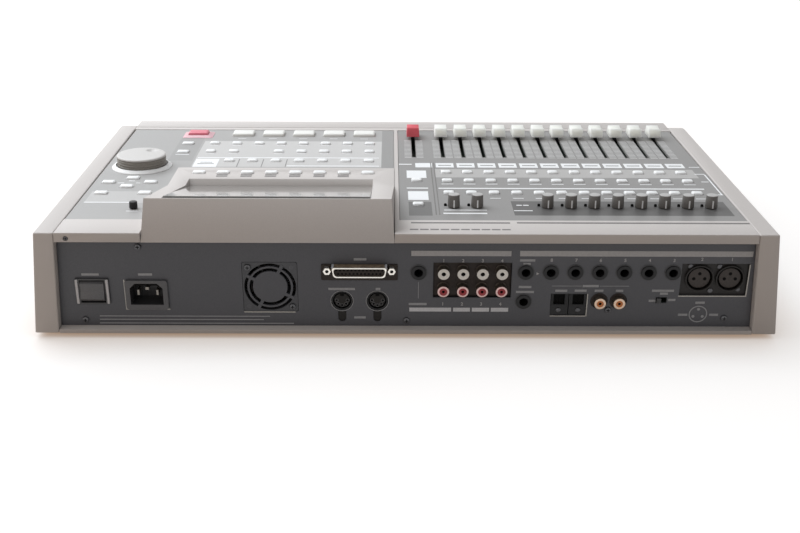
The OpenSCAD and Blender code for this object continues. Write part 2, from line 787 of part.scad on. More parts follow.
// Inside the case
main_lift = 8;
main_size = [218, 200];
main_corner = [-236, -100];
main_posts = [for (sx = [0, 0.5, 1]) for (sy = [0, 1])
    [main_corner[0] + 6 + sx * (main_size[0] - 12), main_corner[1] + 6 + sy * (main_size[1] - 12)]];
socket_back = sheet_back - jack_deep;
supply_size = [112, 108, 40];
supply_corner = [inner_top - supply_size[0] - 16, 12];
drive_size = [101.6, 147, 25.4];
drive_corner = [4, -58];
chip_w = 28;
chip_t = 2.6;
chip_pitch = 46;
chip_row = 60;
can_pitch = 38;
can_row = 130;
chips_in = 30;
can_dia = 10;
can_h = 14;

module main_board() {
    color("#2f6b3f") {
        translate([main_corner[0], main_corner[1], tray_top + main_lift])
            cube([main_size[0], main_size[1], board_t]);
        // Chips and capacitors on the main board
        translate([main_corner[0] + chips_in, main_corner[1], tray_top + main_lift + board_t - 0.1]) {
            for (i = [0:3]) translate([chip_pitch * i, chip_row, 0]) cube([chip_w, chip_w, chip_t]);
            for (i = [0:4]) translate([can_pitch * i, can_row, 0]) cylinder(d = can_dia, h = can_h);
        }
        // Upright board behind the sockets
        translate([-246, socket_back - board_t, tray_top + 2]) cube([302, board_t, 56]);
        // Body of the phantom switch
        difference() {
            rear_slab(-phantom_x, phantom_z, -sheet_t, jack_deep) square([14, 8], center = true);
            rear_slab(-phantom_x, phantom_z, -sheet_t + 1, 8)
                square([phantom_travel + 3.4 + 2 * move_gap, 4 + 2 * move_gap], center = true);
        }
    }
}

module power_supply() {
    inside = supply_size - [2, 2, 0] * wall;
    translate([supply_corner[0], supply_corner[1], tray_top]) {
        color("#b9bcc0") difference() {
            cube(supply_size);
            translate([wall, wall, wall]) cube(inside);
            for (i = [0:7]) translate([14 + 11 * i, -1, 12]) cube([4, wall + 2, 20]);
        }
        color("#3d6b4a") translate([wall + 4, wall + 4, wall]) cube([inside[0] - 8, inside[1] - 8, board_t]);
        color("#26282b") translate([50, 55, wall + board_t]) cube([34, 30, 28]);
    }
}

module hard_drive() {
    color("#a9adb2") translate([drive_corner[0], drive_corner[1], tray_top]) {
        cube([drive_size[0], drive_size[1], drive_size[2] - 4]);
        translate([6, 6, 0]) cube([drive_size[0] - 12, drive_size[1] - 24, drive_size[2]]);
    }
}

// Rear panel with every cut-out
module rear_panel() {
    color("#48484b") intersection() {
        between_cheeks(fit_gap);
        rear_slab(0, 0, 0, sheet_t) difference() {
            translate([-case_w / 2, tray_t + 0.1]) square([case_w, sheet_top - tray_top - 0.1]);
            translate([switch_x, switch_z]) square([switch_w - 1.4, switch_tall - 1], center = true);
            translate([inlet_x, inlet_z]) square([inlet_w - 3.4, inlet_tall - 2.4], center = true);
            translate([fan_x, fan_z]) rect(fan_w + 2 * fit_gap, fan_w + 2 * fit_gap, 1.5);
            translate([port_x, port_z - port_drop])
                square([port_shell[0] + 0.5, port_shell[1] + 0.5], center = true);
            for (s = [-1, 1]) translate([port_x + s * port_screws / 2, port_z]) circle(d = 4);
            for (s = [-1, 1]) translate([din_x + s * din_pitch / 2, din_z]) {
                circle(d = din_dia + 2 * fit_gap);
                hull() {
                    translate([0, -14.2]) circle(d = 6);
                    translate([-3, -9]) square([6, 3]);
                }
            }
            for (p = jack_places) translate(p) circle(d = jack_bush + 2 * fit_gap);
            translate(phono_mid) square(phono_cut, center = true);
            for (p = coax_places) translate(p) circle(d = phono_dia + 4 + 2 * fit_gap);
            translate(mic_mid) square(mic_cut, center = true);
            translate(optical_mid) square(optical_cut, center = true);
            translate([-phantom_x, phantom_z]) square([phantom_travel + 4.2, 4.8], center = true);
            for (p = panel_screws) translate(p) circle(d = screw_shank + 2 * fit_gap);
        }
    }
}

// Places of the rear sockets as [x, height above the tray's underside]
jack_places = concat([[-8.5, jack_row - 0.4], [-86.9, jack_row], [-86.4, 23.9]],
    [for (k = [0:5]) [-input_x - input_pitch * k, jack_row]]);
phono_places = [for (k = [0:3]) for (row = [0, 1])
    [-phono_x - phono_pitch * k, phono_z + phono_pitch * row]];
phono_mid = [-phono_x - 1.5 * phono_pitch, phono_z + phono_pitch / 2];
coax_places = [[-142.4, 24.4], [-156.6, 24.4]];
mic_mid = [-mic_x, mic_z - 1];
optical_mid = [-optical_x, optical_z - 4];
panel_screws = [[238.3, 8], [0, 7.8], [-236.7, 10.3], [194.6, 67.4], [-149.5, 17]];
ledge_screws = [243.8];
ledge_screw_z = lip_z + lip_h / 2 - 0.8;
ledge_head = 3.2;
ledge_shank = 2;
feet_places = [for (sx = [-1, 1]) for (sy = [-1, 1])
    [sx * (case_w / 2 - foot_inset), sy * (rear - foot_inset / 2)]];

module fan_frame() {
    tip = fan_w / 2 - 0.6;
    color("#2b2b2d") {
        difference() {
            rear_slab(fan_x, fan_z, 0, fan_depth) rect(fan_w, fan_w, 1.5);
            rear_slab(fan_x, fan_z, -2, fan_depth) circle(r = tip - 0.4);
            rear_slab(fan_x, fan_z, 1, fan_depth) difference() {
                circle(r = tip - 0.4);
                circle(r = 12.6);
                difference() {
                    circle(r = 16.6);
                    circle(r = 15.4);
                }
                for (a = [28, 118]) rotate(a) square([fan_w, 2], center = true);
            }
            for (sx = [-1, 1]) for (sy = [-1, 1])
                rear_slab(fan_x + sx * 16, fan_z + sy * 16, 1, fan_depth + 2)
                    circle(d = screw_shank + 2 * fit_gap);
        }
        // The motor's bush, fixed to the guard's middle
        rear_slab(fan_x, fan_z, -1.5, fan_depth - 4.5) difference() {
            circle(d = 7);
            circle(d = 3 + 2 * shaft_gap);
        }
    }
}

module fan_rotor() {
    tip = fan_w / 2 - 2.2;
    deep = fan_depth - 2 - 1.6;
    color("#37373a") {
        difference() {
            rear_slab(fan_x, fan_z, -2.8, deep) circle(d = 22);
            rear_slab(fan_x, fan_z, -1, deep) circle(d = 18);
        }
        rear_slab(fan_x, fan_z, -3.2, deep - 0.5) circle(d = 3);
        for (k = [0:6])
            translate([fan_x, rear_y - 2.8 - deep / 2, foot_h + fan_z]) rotate([0, k * 360 / 7, 0])
                translate([10.4, 0, 0]) rotate([35, 0, 0]) translate([0, -4, -0.6])
                    cube([tip - 10.8, 8, 1.2]);
    }
}

module rubber_feet() {
    color("#2a2a2a") for (p = feet_places) translate([p[0], p[1], 0]) difference() {
        cylinder(d = foot_dia, h = foot_h);
        translate([0, 0, -1]) cylinder(d = 7, h = foot_h - 0.6);
    }
}

// A pan-head screw whose head sits on the plane and whose shank runs in
module screw_at(x, y, z, head = screw_head, shank = screw_shank) {
    translate([x, y, z]) rotate([90, 0, 0]) {
        translate([0, 0, -head_t]) cylinder(d = head, h = head_t);
        translate([0, 0, -0.2]) cylinder(d = shank, h = screw_l);
    }
}

module screws() {
    color("#77797c") {
        for (p = panel_screws) screw_at(p[0], rear_y, foot_h + p[1]);
        for (s = ledge_screws) screw_at(s, rear - screw_sink, ledge_screw_z, ledge_head, ledge_shank);
        for (s = [-1, 1]) screw_at(fan_x - s * 16, rear_y, foot_h + fan_z - s * 16);
    }
}

// Rocker seen from the side: two faces that meet at a shallow angle
rocker_deep = 3;
rocker_proud = 2.4;
rocker_pin = 3;

module rocker_section(gap = 0) {
    intersection() {
        polygon([[rocker_deep + rocker_proud + 2.4, -rocker_r - 1], [rocker_deep + rocker_proud, 0],
                 [rocker_deep + rocker_proud + 2.4, rocker_r + 1], [-4, rocker_r + 1], [-4, -rocker_r - 1]]);
        circle(r = rocker_r + gap);
    }
}

module power_rocker() {
    color("#3a3a3c") translate([switch_x, rear_y - rocker_deep, foot_h + switch_z])
        rotate([rocker_swing / 2, 0, 0]) {
            side_slab(-rocker_w / 2, rocker_w / 2) rocker_section();
            side_slab(-rocker_w / 2 - 1.8, rocker_w / 2 + 1.8) circle(d = rocker_pin);
        }
}

module mains_fittings() {
    mouth_w = rocker_w + 2 * move_gap;
    mouth_tall = 2 * (rocker_r + move_gap);
    cavity = inlet_cavity;
    color("#333335") {
        difference() {
            union() {
                rear_slab(switch_x, switch_z, 1.5, 1.5) rect(switch_w, switch_tall);
                rear_slab(switch_x, switch_z, 0.1, jack_deep)
                    square([switch_w - 2, switch_tall - 1.6], center = true);
            }
            rear_slab(switch_x, switch_z, 3, 18) square([mouth_w, mouth_tall], center = true);
            translate([switch_x, rear_y - rocker_deep, foot_h + switch_z])
                side_slab(-rocker_w / 2 - 2.2, rocker_w / 2 + 2.2) circle(d = rocker_pin + 2 * shaft_gap);
        }
        difference() {
            union() {
                rear_slab(inlet_x, inlet_z, 2, 2) rect(inlet_w, inlet_tall, 2);
                rear_slab(inlet_x, inlet_z, 0.1, inlet_depth + 6)
                    square([inlet_w - 4, inlet_tall - 3], center = true);
            }
            rear_slab(inlet_x, inlet_z, 3, inlet_depth + 1) polygon(cavity);
        }
    }
    color("#c9b98a") {
        for (s = [-1, 1]) rear_slab(inlet_x + 7 * s, inlet_z, -3, inlet_depth) square([1.4, 4], center = true);
        rear_slab(inlet_x, inlet_z + 4, -1.5, inlet_depth + 1.5) square([2.4, 2], center = true);
    }
}

inlet_cavity = [[-12, -8.2], [12, -8.2], [12, 4.2], [8, 8.2], [-8, 8.2], [-12, 4.2]];

module dshape(w, l, slant) {
    d = l * tan(slant) / 2;
    half = w / 2 - 1;
    polygon([[-half - d, l / 2], [half + d, l / 2], [half - d, -l / 2], [d - half, -l / 2]]);
}

module digital_sockets() {
    color("#5b5348") {
        // Parallel port: flange, shell, insert and two screwlocks
        difference() {
            union() {
                rear_slab(port_x, port_z - port_drop, port_flange[2], port_flange[2])
                    rect(port_flange[0], port_flange[1], 1);
                rear_slab(port_x, port_z, port_shell[2], port_shell[2])
                    dshape(port_shell[0], port_shell[1], port_slant);
                rear_slab(port_x, port_z - port_drop, 0.1, jack_deep + sheet_t + 0.1)
                    square([port_shell[0] - 1, port_shell[1] - 0.2], center = true);
                for (s = [-1, 1]) {
                    rear_slab(port_x + s * port_screws / 2, port_z, 5, 5) circle(d = 5.4, $fn = 6);
                    rear_slab(port_x + s * port_screws / 2, port_z, 0.1, 8) circle(d = 3.6);
                }
            }
            rear_slab(port_x, port_z, port_shell[2] + 1, 2.6)
                dshape(port_shell[0] - 1.4, port_shell[1] - 1.4, port_slant);
            for (s = [-1, 1]) rear_slab(port_x + s * port_screws / 2, port_z, 6, 9) circle(d = port_thread);
        }
    }
    color("#1e1e20") {
        // Round control sockets
        for (s = [-1, 1]) difference() {
            union() {
                rear_slab(din_x + s * din_pitch / 2, din_z, -0.4, sheet_t) circle(d = din_dia);
                rear_slab(din_x + s * din_pitch / 2, din_z, -sheet_t, jack_deep)
                    translate([-9, -18.6]) square([18, 27.6]);
            }
            rear_slab(din_x + s * din_pitch / 2, din_z, 1, 7) difference() {
                circle(d = din_dia - 2);
                circle(d = din_dia - 4.4);
            }
            rear_slab(din_x + s * din_pitch / 2, din_z, 1, 2.2) circle(d = din_dia - 2);
        }
        // Optical sockets side by side, each a block with a square mouth
        for (s = [-1, 1]) difference() {
            rear_slab(optical_mid[0] + s * optical_cut[0] / 4, optical_mid[1], -0.6,
                      jack_deep + sheet_t - 0.6)
                square([optical_cut[0] / 2 - 2 * fit_gap, optical_cut[1] - 2 * fit_gap], center = true);
            rear_slab(-optical_x + s * optical_pitch / 2, optical_z, 1, optical_deep + 1)
                square(optical_w, center = true);
        }
    }
}

port_thread = 2.84;
optical_deep = 8;

module phone_jacks() {
    color("#202022") for (p = jack_places) difference() {
        union() {
            rear_slab(p[0], p[1], jack_proud, jack_proud) circle(d = jack_nut);
            rear_slab(p[0], p[1], 0.1, sheet_t + 0.2) circle(d = jack_bush);
            rear_slab(p[0], p[1], -sheet_t, jack_deep) square(jack_body, center = true);
        }
        rear_slab(p[0], p[1], jack_proud + 1, jack_deep) circle(d = jack_bore);
    }
}

// A phono socket's barrel with its contact hole
module phono_barrel(p) {
    difference() {
        rear_slab(p[0], p[1], phono_l, phono_l + 1) circle(d = phono_dia);
        rear_slab(p[0], p[1], phono_l + 1, phono_l) circle(d = 3.4);
    }
}

module phono_sockets() {
    color("#8a8a88") {
        difference() {
            union() {
                rear_slab(phono_mid[0], phono_mid[1], -phono_back, jack_deep + sheet_t - phono_back)
                    square(phono_cut - [1, 1] * 2 * fit_gap, center = true);
                for (p = phono_places)
                    rear_slab(p[0], p[1], phono_l, phono_l + phono_back + 1) circle(d = phono_dia);
            }
            for (p = phono_places) rear_slab(p[0], p[1], phono_l + 1, phono_l + 3) circle(d = 3.4);
        }
        for (p = coax_places) difference() {
            union() {
                rear_slab(p[0], p[1], phono_l, phono_l + 1) circle(d = phono_dia);
                rear_slab(p[0], p[1], -0.4, sheet_t) circle(d = phono_dia + 4);
                rear_slab(p[0], p[1], -sheet_t, jack_deep) square([10.8, jack_body[1]], center = true);
            }
            rear_slab(p[0], p[1], phono_l + 1, phono_l + 3) circle(d = 3.4);
        }
    }
}

module mic_sockets() {
    color("#242426") difference() {
        union() {
            rear_slab(mic_mid[0], mic_mid[1], -sheet_t, 2) square(mic_cut + mic_margin, center = true);
            for (s = [-1, 1]) {
                rear_slab(-mic_x + s * mic_pitch / 2, mic_z, 0.6, sheet_t + 1) circle(d = mic_dia);
                rear_slab(-mic_x + s * mic_pitch / 2, mic_z, -sheet_t - 1, jack_deep - 1)
                    circle(d = mic_dia - 0.4);
            }
        }
        for (s = [-1, 1]) {
            rear_slab(-mic_x + s * mic_pitch / 2, mic_z, 2, 14) difference() {
                circle(d = mic_dia - 2);
                circle(d = mic_dia - 5);
            }
            rear_slab(-mic_x + s * mic_pitch / 2, mic_z, 2, 3) circle(d = mic_dia - 2);
        }
    }
}

// Fader cap: side section with a saddle, cut by an end section that tapers
module fader_cap() {
    lean = 2.2;
    chord = cap_l / 2 - lean - 0.4;
    arc_r = (chord * chord + cap_dip * cap_dip) / (2 * cap_dip);
    half = asin(chord / arc_r);
    lift = cap_lift - panel_drop;
    intersection() {
        side_slab(-cap_w / 2, cap_w / 2)
            polygon(concat([[-cap_l / 2, lift], [cap_l / 2, lift], [cap_l / 2 - lean, lift + cap_h]],
                           [for (i = [0:10]) let (a = half - 2 * half * i / 10)
                               [arc_r * sin(a), lift + cap_h - cap_dip + arc_r * (1 - cos(a))]],
                           [[lean - cap_l / 2, lift + cap_h]]));
        translate([0, cap_l, 0]) rotate([90, 0, 0]) linear_extrude(2 * cap_l)
            polygon([[-cap_w / 2, 0], [cap_w / 2, 0], [cap_w / 2 - 0.7, lift + cap_h + 1],
                     [0.7 - cap_w / 2, lift + cap_h + 1]]);
    }
}

module fader(x) {
    tall = board_drop - under_panel - 1.6;
    low = -board_drop + 1.4;
    on_deck(x, fader_row) {
        difference() {
            fader_cap();
            translate([-cap_w, -0.4, cap_lift - panel_drop + cap_h - cap_dip - 0.5])
                cube([2 * cap_w, 0.8, 2]);
        }
        translate([-stem_t / 2, -stem_l / 2, low]) cube([stem_t, stem_l, cap_lift - panel_drop - low + 1]);
    }
}

module knob(x, row, d1, d2, h, shaft) {
    on_deck(x, row) {
        difference() {
            translate([0, 0, 0.6 - panel_drop]) cylinder(d1 = d1, d2 = d2, h = h - 0.6);
            translate([-0.4, d2 / 2 - 1, h - panel_drop - 1.2]) cube([0.8, 4, 3]);
        }
        translate([0, 0, -board_drop + 1.2]) cylinder(d = shaft, h = board_drop);
    }
}

module jog_dial() {
    low = 0.6 - panel_drop;
    round = 1.6;
    color("#cdc6b8") on_deck(dial_x, dial_row) {
        difference() {
            rotate_extrude() polygon(concat(
                [[0, low], [dial_dia / 2, low], [dial_dia / 2, dial_h - panel_drop - round]],
                [for (i = [1:5]) [dial_dia / 2 - round + round * cos(18 * i),
                                  dial_h - panel_drop - round + round * sin(18 * i)]],
                [[0, dial_h - panel_drop]]));
            rotate(236) translate([dimple_pos, 0, dial_h - panel_drop + dimple_dia / 2 - 1.9])
                sphere(d = dimple_dia);
        }
        translate([0, 0, -board_drop + 1.2]) cylinder(d = shaft_dia, h = board_drop);
    }
}

module phantom_slider() {
    color("#e0e0de") rear_slab(-phantom_x + phantom_travel / 2, phantom_z, 1.6, 9)
        square([3.4, 4], center = true);
}

module record_key() {
    color("#b8324a") on_deck(record_x, record_row) key_solid(record_w, record_l, record_h);
}

module transport_key(k) {
    color("#f0efe8") on_deck(transport_x + transport_pitch * k, transport_row)
        key_solid(transport_w, transport_l, transport_h);
}

module function_keys() {
    color("#f2f2f0") for (k = [0:7]) on_deck(key_x + key_pitch * k, function_row)
        key_solid(key_w, key_l, key_h, strip_rise, wall);
}

module key_set(places, w) {
    color("#f2f2f0") for (p = places) on_deck(p[0], p[1]) key_solid(w, key_l, key_h);
}

bottom_tray();
left_cheek();
right_cheek();
top_cover();
display_hood();
lcd_module();
control_panel();
mixer_panel();
rear_panel();
control_board();
mixer_board();
main_board();
power_supply();
hard_drive();
fan_frame();
rubber_feet();
screws();
mains_fittings();
digital_sockets();
phone_jacks();
phono_sockets();
mic_sockets();
color("#c4324a") fader(-master_x);  // fader_master
for (k = [1:12]) color("#eceadb") fader(channel_place(k - 1));
for (k = [1:2]) color("#55565a") knob(knob_places[k - 1], knob_row, knob_dia, knob_top, knob_h, shaft_dia);
for (k = [1:8]) color("#55565a") knob(knob_places[k + 1], knob_row, knob_dia, knob_top, knob_h, shaft_dia);
color("#1c1c1e") knob(contrast_x, contrast_row, contrast_dia, contrast_dia - 0.4, contrast_h,  // contrast_knob
                          shaft_dia / 2);
jog_dial();
power_rocker();
phantom_slider();
fan_rotor();
record_key();
for (k = [1:5]) transport_key(k - 1);
function_keys();
key_set(control_places, row_key_w);  // control_keys
key_set(cursor_places, key_w);  // cursor_keys
key_set(mixer_places, row_key_w);  // mixer_keys
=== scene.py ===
"""Looks of a desktop digital multitrack recorder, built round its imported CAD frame.
Lengths are in millimetres until a mesh is made; x runs to the user's right, y to the rear, z up."""
import json
import math

import bmesh
import bpy
import numpy as np
from mathutils import Matrix, Vector


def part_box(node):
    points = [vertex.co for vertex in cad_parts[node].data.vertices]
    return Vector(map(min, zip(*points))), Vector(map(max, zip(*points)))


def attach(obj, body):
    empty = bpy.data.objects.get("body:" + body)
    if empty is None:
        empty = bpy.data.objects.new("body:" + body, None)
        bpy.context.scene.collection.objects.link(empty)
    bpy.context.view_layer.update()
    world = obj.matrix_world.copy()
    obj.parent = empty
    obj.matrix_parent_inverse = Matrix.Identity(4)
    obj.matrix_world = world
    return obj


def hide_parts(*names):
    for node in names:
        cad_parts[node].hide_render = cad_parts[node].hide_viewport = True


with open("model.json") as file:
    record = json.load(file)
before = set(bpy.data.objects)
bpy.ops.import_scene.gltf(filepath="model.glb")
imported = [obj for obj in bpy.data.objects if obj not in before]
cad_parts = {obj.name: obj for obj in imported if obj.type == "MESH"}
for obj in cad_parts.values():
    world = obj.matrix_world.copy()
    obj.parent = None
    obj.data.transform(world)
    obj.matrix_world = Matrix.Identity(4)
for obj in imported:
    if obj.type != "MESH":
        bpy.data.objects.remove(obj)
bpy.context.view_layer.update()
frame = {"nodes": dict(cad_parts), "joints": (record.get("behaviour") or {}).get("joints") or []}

# Studio: a camera behind and above the recorder, a pale table and soft lamps.
# A broad lamp hangs overhead, and a weaker warm one stands beside the camera.
PHOTO_WIDTH = 800
FOCAL_PIXELS = 1156.49
CAMERA_PLACE = np.array([0.01292, 0.9242, 0.41786])
PITCH, YAW, ROLL = np.radians([25.42, 0.53, 0.16])


def turn(first, second, angle):
    """Two square directions turned towards each other: a cos + b sin, b cos - a sin."""
    return (first * np.cos(angle) + second * np.sin(angle),
            second * np.cos(angle) - first * np.sin(angle))


look, camera_up = turn(np.array([0.0, -1.0, 0.0]), np.array([0.0, 0.0, 1.0]), -PITCH)
look, camera_right = turn(look, np.array([-1.0, 0.0, 0.0]), YAW)
camera_right, camera_up = turn(camera_right, camera_up, ROLL)
lens = bpy.data.cameras.new("camera")
lens.sensor_width = 36
lens.lens = 36 * FOCAL_PIXELS / PHOTO_WIDTH
camera = bpy.data.objects.new("camera", lens)
pose = np.eye(4)
pose[:3, :4] = np.column_stack([camera_right, camera_up, -look, CAMERA_PLACE])
camera.matrix_world = Matrix(pose.tolist())
bpy.context.scene.collection.objects.link(camera)
bpy.context.scene.camera = camera
bpy.context.scene.view_settings.view_transform = "Standard"


def seen_rays(tree):
    """Socket that is 1 on camera, glossy and transmission rays: the sum of the three, held at 1."""
    path = tree.nodes.new("ShaderNodeLightPath")
    pair = tree.nodes.new("ShaderNodeMath")
    every = tree.nodes.new("ShaderNodeMath")
    every.use_clamp = True
    tree.links.new(path.outputs["Is Camera Ray"], pair.inputs[0])
    tree.links.new(path.outputs["Is Glossy Ray"], pair.inputs[1])
    tree.links.new(pair.outputs[0], every.inputs[0])
    tree.links.new(path.outputs["Is Transmission Ray"], every.inputs[1])
    return every.outputs[0]


world = bpy.data.worlds.new("studio")
bpy.context.scene.world = world
world.use_nodes = True
backdrop = world.node_tree.nodes["Background"]
backdrop.inputs["Color"].default_value = (1, 1, 1, 1)
level = world.node_tree.nodes.new("ShaderNodeMapRange")
level.inputs["To Min"].default_value = 0.3
level.inputs["To Max"].default_value = 0.9
world.node_tree.links.new(seen_rays(world.node_tree), level.inputs["Value"])
world.node_tree.links.new(level.outputs["Result"], backdrop.inputs["Strength"])

LAMP_TARGET = Vector((0, 0, 0.05))
for lamp_name, watts, side, spot, tint in (
        ("overhead", 59, 2.2, (1.1, -0.75, 1.6), (0.91, 0.955, 1.0)),
        ("fill", 3.6, 1.4, (1.35, 1.95, 0.7), (1.0, 0.74, 0.57))):
    lamp = bpy.data.lights.new(lamp_name, "AREA")
    lamp.energy = watts
    lamp.size = side
    lamp.color = tint
    holder = bpy.data.objects.new(lamp_name, lamp)
    aim = Vector(spot) - LAMP_TARGET
    holder.matrix_world = Matrix.Translation(spot) @ aim.to_track_quat("Z", "Y").to_matrix().to_4x4()
    bpy.context.scene.collection.objects.link(holder)

floor_mesh = bpy.data.meshes.new("table")
floor_mesh.from_pydata([(-9, -9, 0), (9, -9, 0), (9, 9, 0), (-9, 9, 0)], [], [(0, 1, 2, 3)])
table = bpy.data.objects.new("table", floor_mesh)
bpy.context.scene.collection.objects.link(table)
pale = bpy.data.materials.new("pale_table")
pale.use_nodes = True
matt = pale.node_tree.nodes["Principled BSDF"]
matt.inputs["Roughness"].default_value = 0.9
shade = pale.node_tree.nodes.new("ShaderNodeMix")
shade.data_type = "RGBA"
shade.inputs[6].default_value = (0.42, 0.36, 0.31, 1)
shade.inputs[7].default_value = (0.9, 0.84, 0.8, 1)
glow = pale.node_tree.nodes.new("ShaderNodeEmission")
glow.inputs["Strength"].default_value = 1.2
# The table's glow turns dark warm brown where ambient occlusion finds the recorder close by: a painted
# contact shadow.
contact = pale.node_tree.nodes.new("ShaderNodeAmbientOcclusion")
contact.inputs["Distance"].default_value = 0.05
painted_contact_shadow = pale.node_tree.nodes.new("ShaderNodeMix")
painted_contact_shadow.data_type = "RGBA"
painted_contact_shadow.inputs[6].default_value = (0.42, 0.28, 0.18, 1)
painted_contact_shadow.inputs[7].default_value = (1, 1, 1, 1)
pale.node_tree.links.new(contact.outputs["AO"], painted_contact_shadow.inputs["Factor"])
pale.node_tree.links.new(painted_contact_shadow.outputs[2], glow.inputs["Color"])
share = pale.node_tree.nodes.new("ShaderNodeMapRange")
share.inputs["To Max"].default_value = 0.6
both = pale.node_tree.nodes.new("ShaderNodeMixShader")
seen = seen_rays(pale.node_tree)
pale.node_tree.links.new(seen, shade.inputs["Factor"])
pale.node_tree.links.new(shade.outputs[2], matt.inputs["Base Color"])
pale.node_tree.links.new(seen, share.inputs["Value"])
pale.node_tree.links.new(share.outputs["Result"], both.inputs["Fac"])
pale.node_tree.links.new(matt.outputs[0], both.inputs[1])
pale.node_tree.links.new(glow.outputs[0], both.inputs[2])
pale.node_tree.links.new(both.outputs[0], pale.node_tree.nodes["Material Output"].inputs["Surface"])
floor_mesh.materials.append(pale)


# Bottom tray and feet: a folded tray in the case's light grey, on four moulded rubber feet.
# The tray is screwed up into the cheeks, and the feet are pushed into it.
def finish(name, light, dark, rough, grain, depth, metal=0.0, coat=0.0, patch=9.0, gloss=0.5):
    """Finish on object coordinates: a broad and a fine noise blend two tones, the broad one varies the
    roughness, and the fine one, of that grain per metre, raises the surface by a depth in millimetres."""
    material = bpy.data.materials.new(name)
    material.use_nodes = True
    tree = material.node_tree
    shader = tree.nodes["Principled BSDF"]
    shader.inputs["Metallic"].default_value = metal
    shader.inputs["Specular IOR Level"].default_value = gloss
    shader.inputs["Coat Weight"].default_value = coat
    shader.inputs["Coat Roughness"].default_value = 0.08
    where = tree.nodes.new("ShaderNodeTexCoord")
    noises = []
    for scale in (patch, grain):
        noise = tree.nodes.new("ShaderNodeTexNoise")
        noise.inputs["Scale"].default_value = scale
        noise.inputs["Detail"].default_value = 3
        tree.links.new(where.outputs["Object"], noise.inputs["Vector"])
        noises.append(noise.outputs["Fac"])
    mean = tree.nodes.new("ShaderNodeMath")
    mean.operation = "MULTIPLY_ADD"
    mean.inputs[1].default_value = 0.6
    spread = tree.nodes.new("ShaderNodeMapRange")
    spread.inputs["From Min"].default_value = 0.55
    spread.inputs["From Max"].default_value = 1.05
    tone = tree.nodes.new("ShaderNodeMix")
    tone.data_type = "RGBA"
    tone.inputs[6].default_value = (*dark, 1)
    tone.inputs[7].default_value = (*light, 1)
    polish = tree.nodes.new("ShaderNodeMapRange")
    polish.inputs["From Min"].default_value = 0.3
    polish.inputs["From Max"].default_value = 0.7
    polish.inputs["To Min"].default_value = max(rough - 0.07, 0.02)
    polish.inputs["To Max"].default_value = min(rough + 0.07, 1)
    bump = tree.nodes.new("ShaderNodeBump")
    bump.inputs["Strength"].default_value = 0.5
    bump.inputs["Distance"].default_value = depth / 1000
    tree.links.new(noises[0], mean.inputs[0])
    tree.links.new(noises[1], mean.inputs[2])
    tree.links.new(mean.outputs[0], spread.inputs["Value"])
    tree.links.new(spread.outputs["Result"], tone.inputs["Factor"])
    tree.links.new(tone.outputs[2], shader.inputs["Base Color"])
    tree.links.new(noises[0], polish.inputs["Value"])
    tree.links.new(polish.outputs["Result"], shader.inputs["Roughness"])
    tree.links.new(noises[1], bump.inputs["Height"])
    tree.links.new(bump.outputs["Normal"], shader.inputs["Normal"])
    return material


def paint(node, material):
    """The CAD node keeps its shape and takes the finish."""
    mesh = frame["nodes"][node].data
    mesh.materials.clear()
    mesh.materials.append(material)


def fit(name, mesh, material, body="chassis", node=None):
    """The finished mesh becomes a piece that rides a body and, where a node is named, stands for it."""
    mesh.materials.clear()
    mesh.materials.append(material)
    piece = bpy.data.objects.new(name, mesh)
    bpy.context.scene.collection.objects.link(piece)
    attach(piece, body)
    if node:
        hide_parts(node)
    return piece


def dressed(node, radius, material, body="chassis", steps=2):
    """The CAD solid with its corners merged, its flat faces joined and its edges rounded by a radius."""
    work = bmesh.new()
    work.from_mesh(frame["nodes"][node].data)
    bmesh.ops.remove_doubles(work, verts=work.verts, dist=2e-6)
    bmesh.ops.dissolve_limit(work, angle_limit=math.radians(0.6), verts=work.verts, edges=work.edges)
    mesh = bpy.data.meshes.new(node + "_skin")
    work.to_mesh(mesh)
    work.free()
    mesh.shade_smooth()
    piece = fit(node + "_skin", mesh, material, body, node)
    edge = piece.modifiers.new("rounded_edges", "BEVEL")
    edge.width = radius / 1000
    edge.segments = steps
    edge.limit_method = "ANGLE"
    edge.angle_limit = math.radians(25)
    edge.harden_normals = True
    return piece


case_plastic = finish("case_plastic", (0.59, 0.55, 0.525), (0.54, 0.5, 0.475), 0.55, 1700, 0.05, patch=5)
dressed("bottom_tray", 0.5, case_plastic)
paint("rubber_feet", finish("foot_rubber", (0.035, 0.034, 0.033), (0.02, 0.02, 0.02), 0.85, 1200, 0.06))

# Inside: green boards darkened to near black as painted shade for the slots, a sheet steel power supply and a
# cast disk drive.
# They stand on the tray and show only through the slots and sockets.
shade_darkened_board = finish("shade_darkened_board", (0.012, 0.022, 0.014), (0.006, 0.011, 0.007), 0.5, 420, 0.03, patch=160)
for board in ("control_board", "mixer_board", "main_board"):
    paint(board, shade_darkened_board)
paint("power_supply", finish("sheet_steel", (0.55, 0.56, 0.57), (0.42, 0.43, 0.45), 0.35, 900, 0.02, 0.9))
paint("hard_drive", finish("cast_drive", (0.48, 0.5, 0.52), (0.36, 0.38, 0.4), 0.45, 700, 0.05, 0.9))

# Rear panel: a punched sheet in satin charcoal paint, with light grey screen print.
# It hangs between the cheeks and is held by dark cross-head screws.
rear_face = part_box("rear_panel")[1].y * 1000
rear_paint = finish("rear_paint", (0.081, 0.083, 0.094), (0.064, 0.066, 0.075), 0.46, 1500, 0.04, patch=6)
screw_steel = finish("screw_steel", (0.12, 0.12, 0.125), (0.06, 0.06, 0.065), 0.35, 1400, 0.02, 0.8)
# Near-black: the colour of small black parts, and painted shade for the dark inside holes, recesses and
# mouths.
black_and_hole_shade = finish("black_and_hole_shade", (0.008, 0.008, 0.008), (0.004, 0.004, 0.004), 0.7, 900, 0.02, gloss=0.05)
paint("rear_panel", rear_paint)


def ink(name, light, dark):
    """Screen print: a thin satin finish with a little unevenness."""
    return finish(name, light, dark, 0.6, 900, 0.01, patch=60)


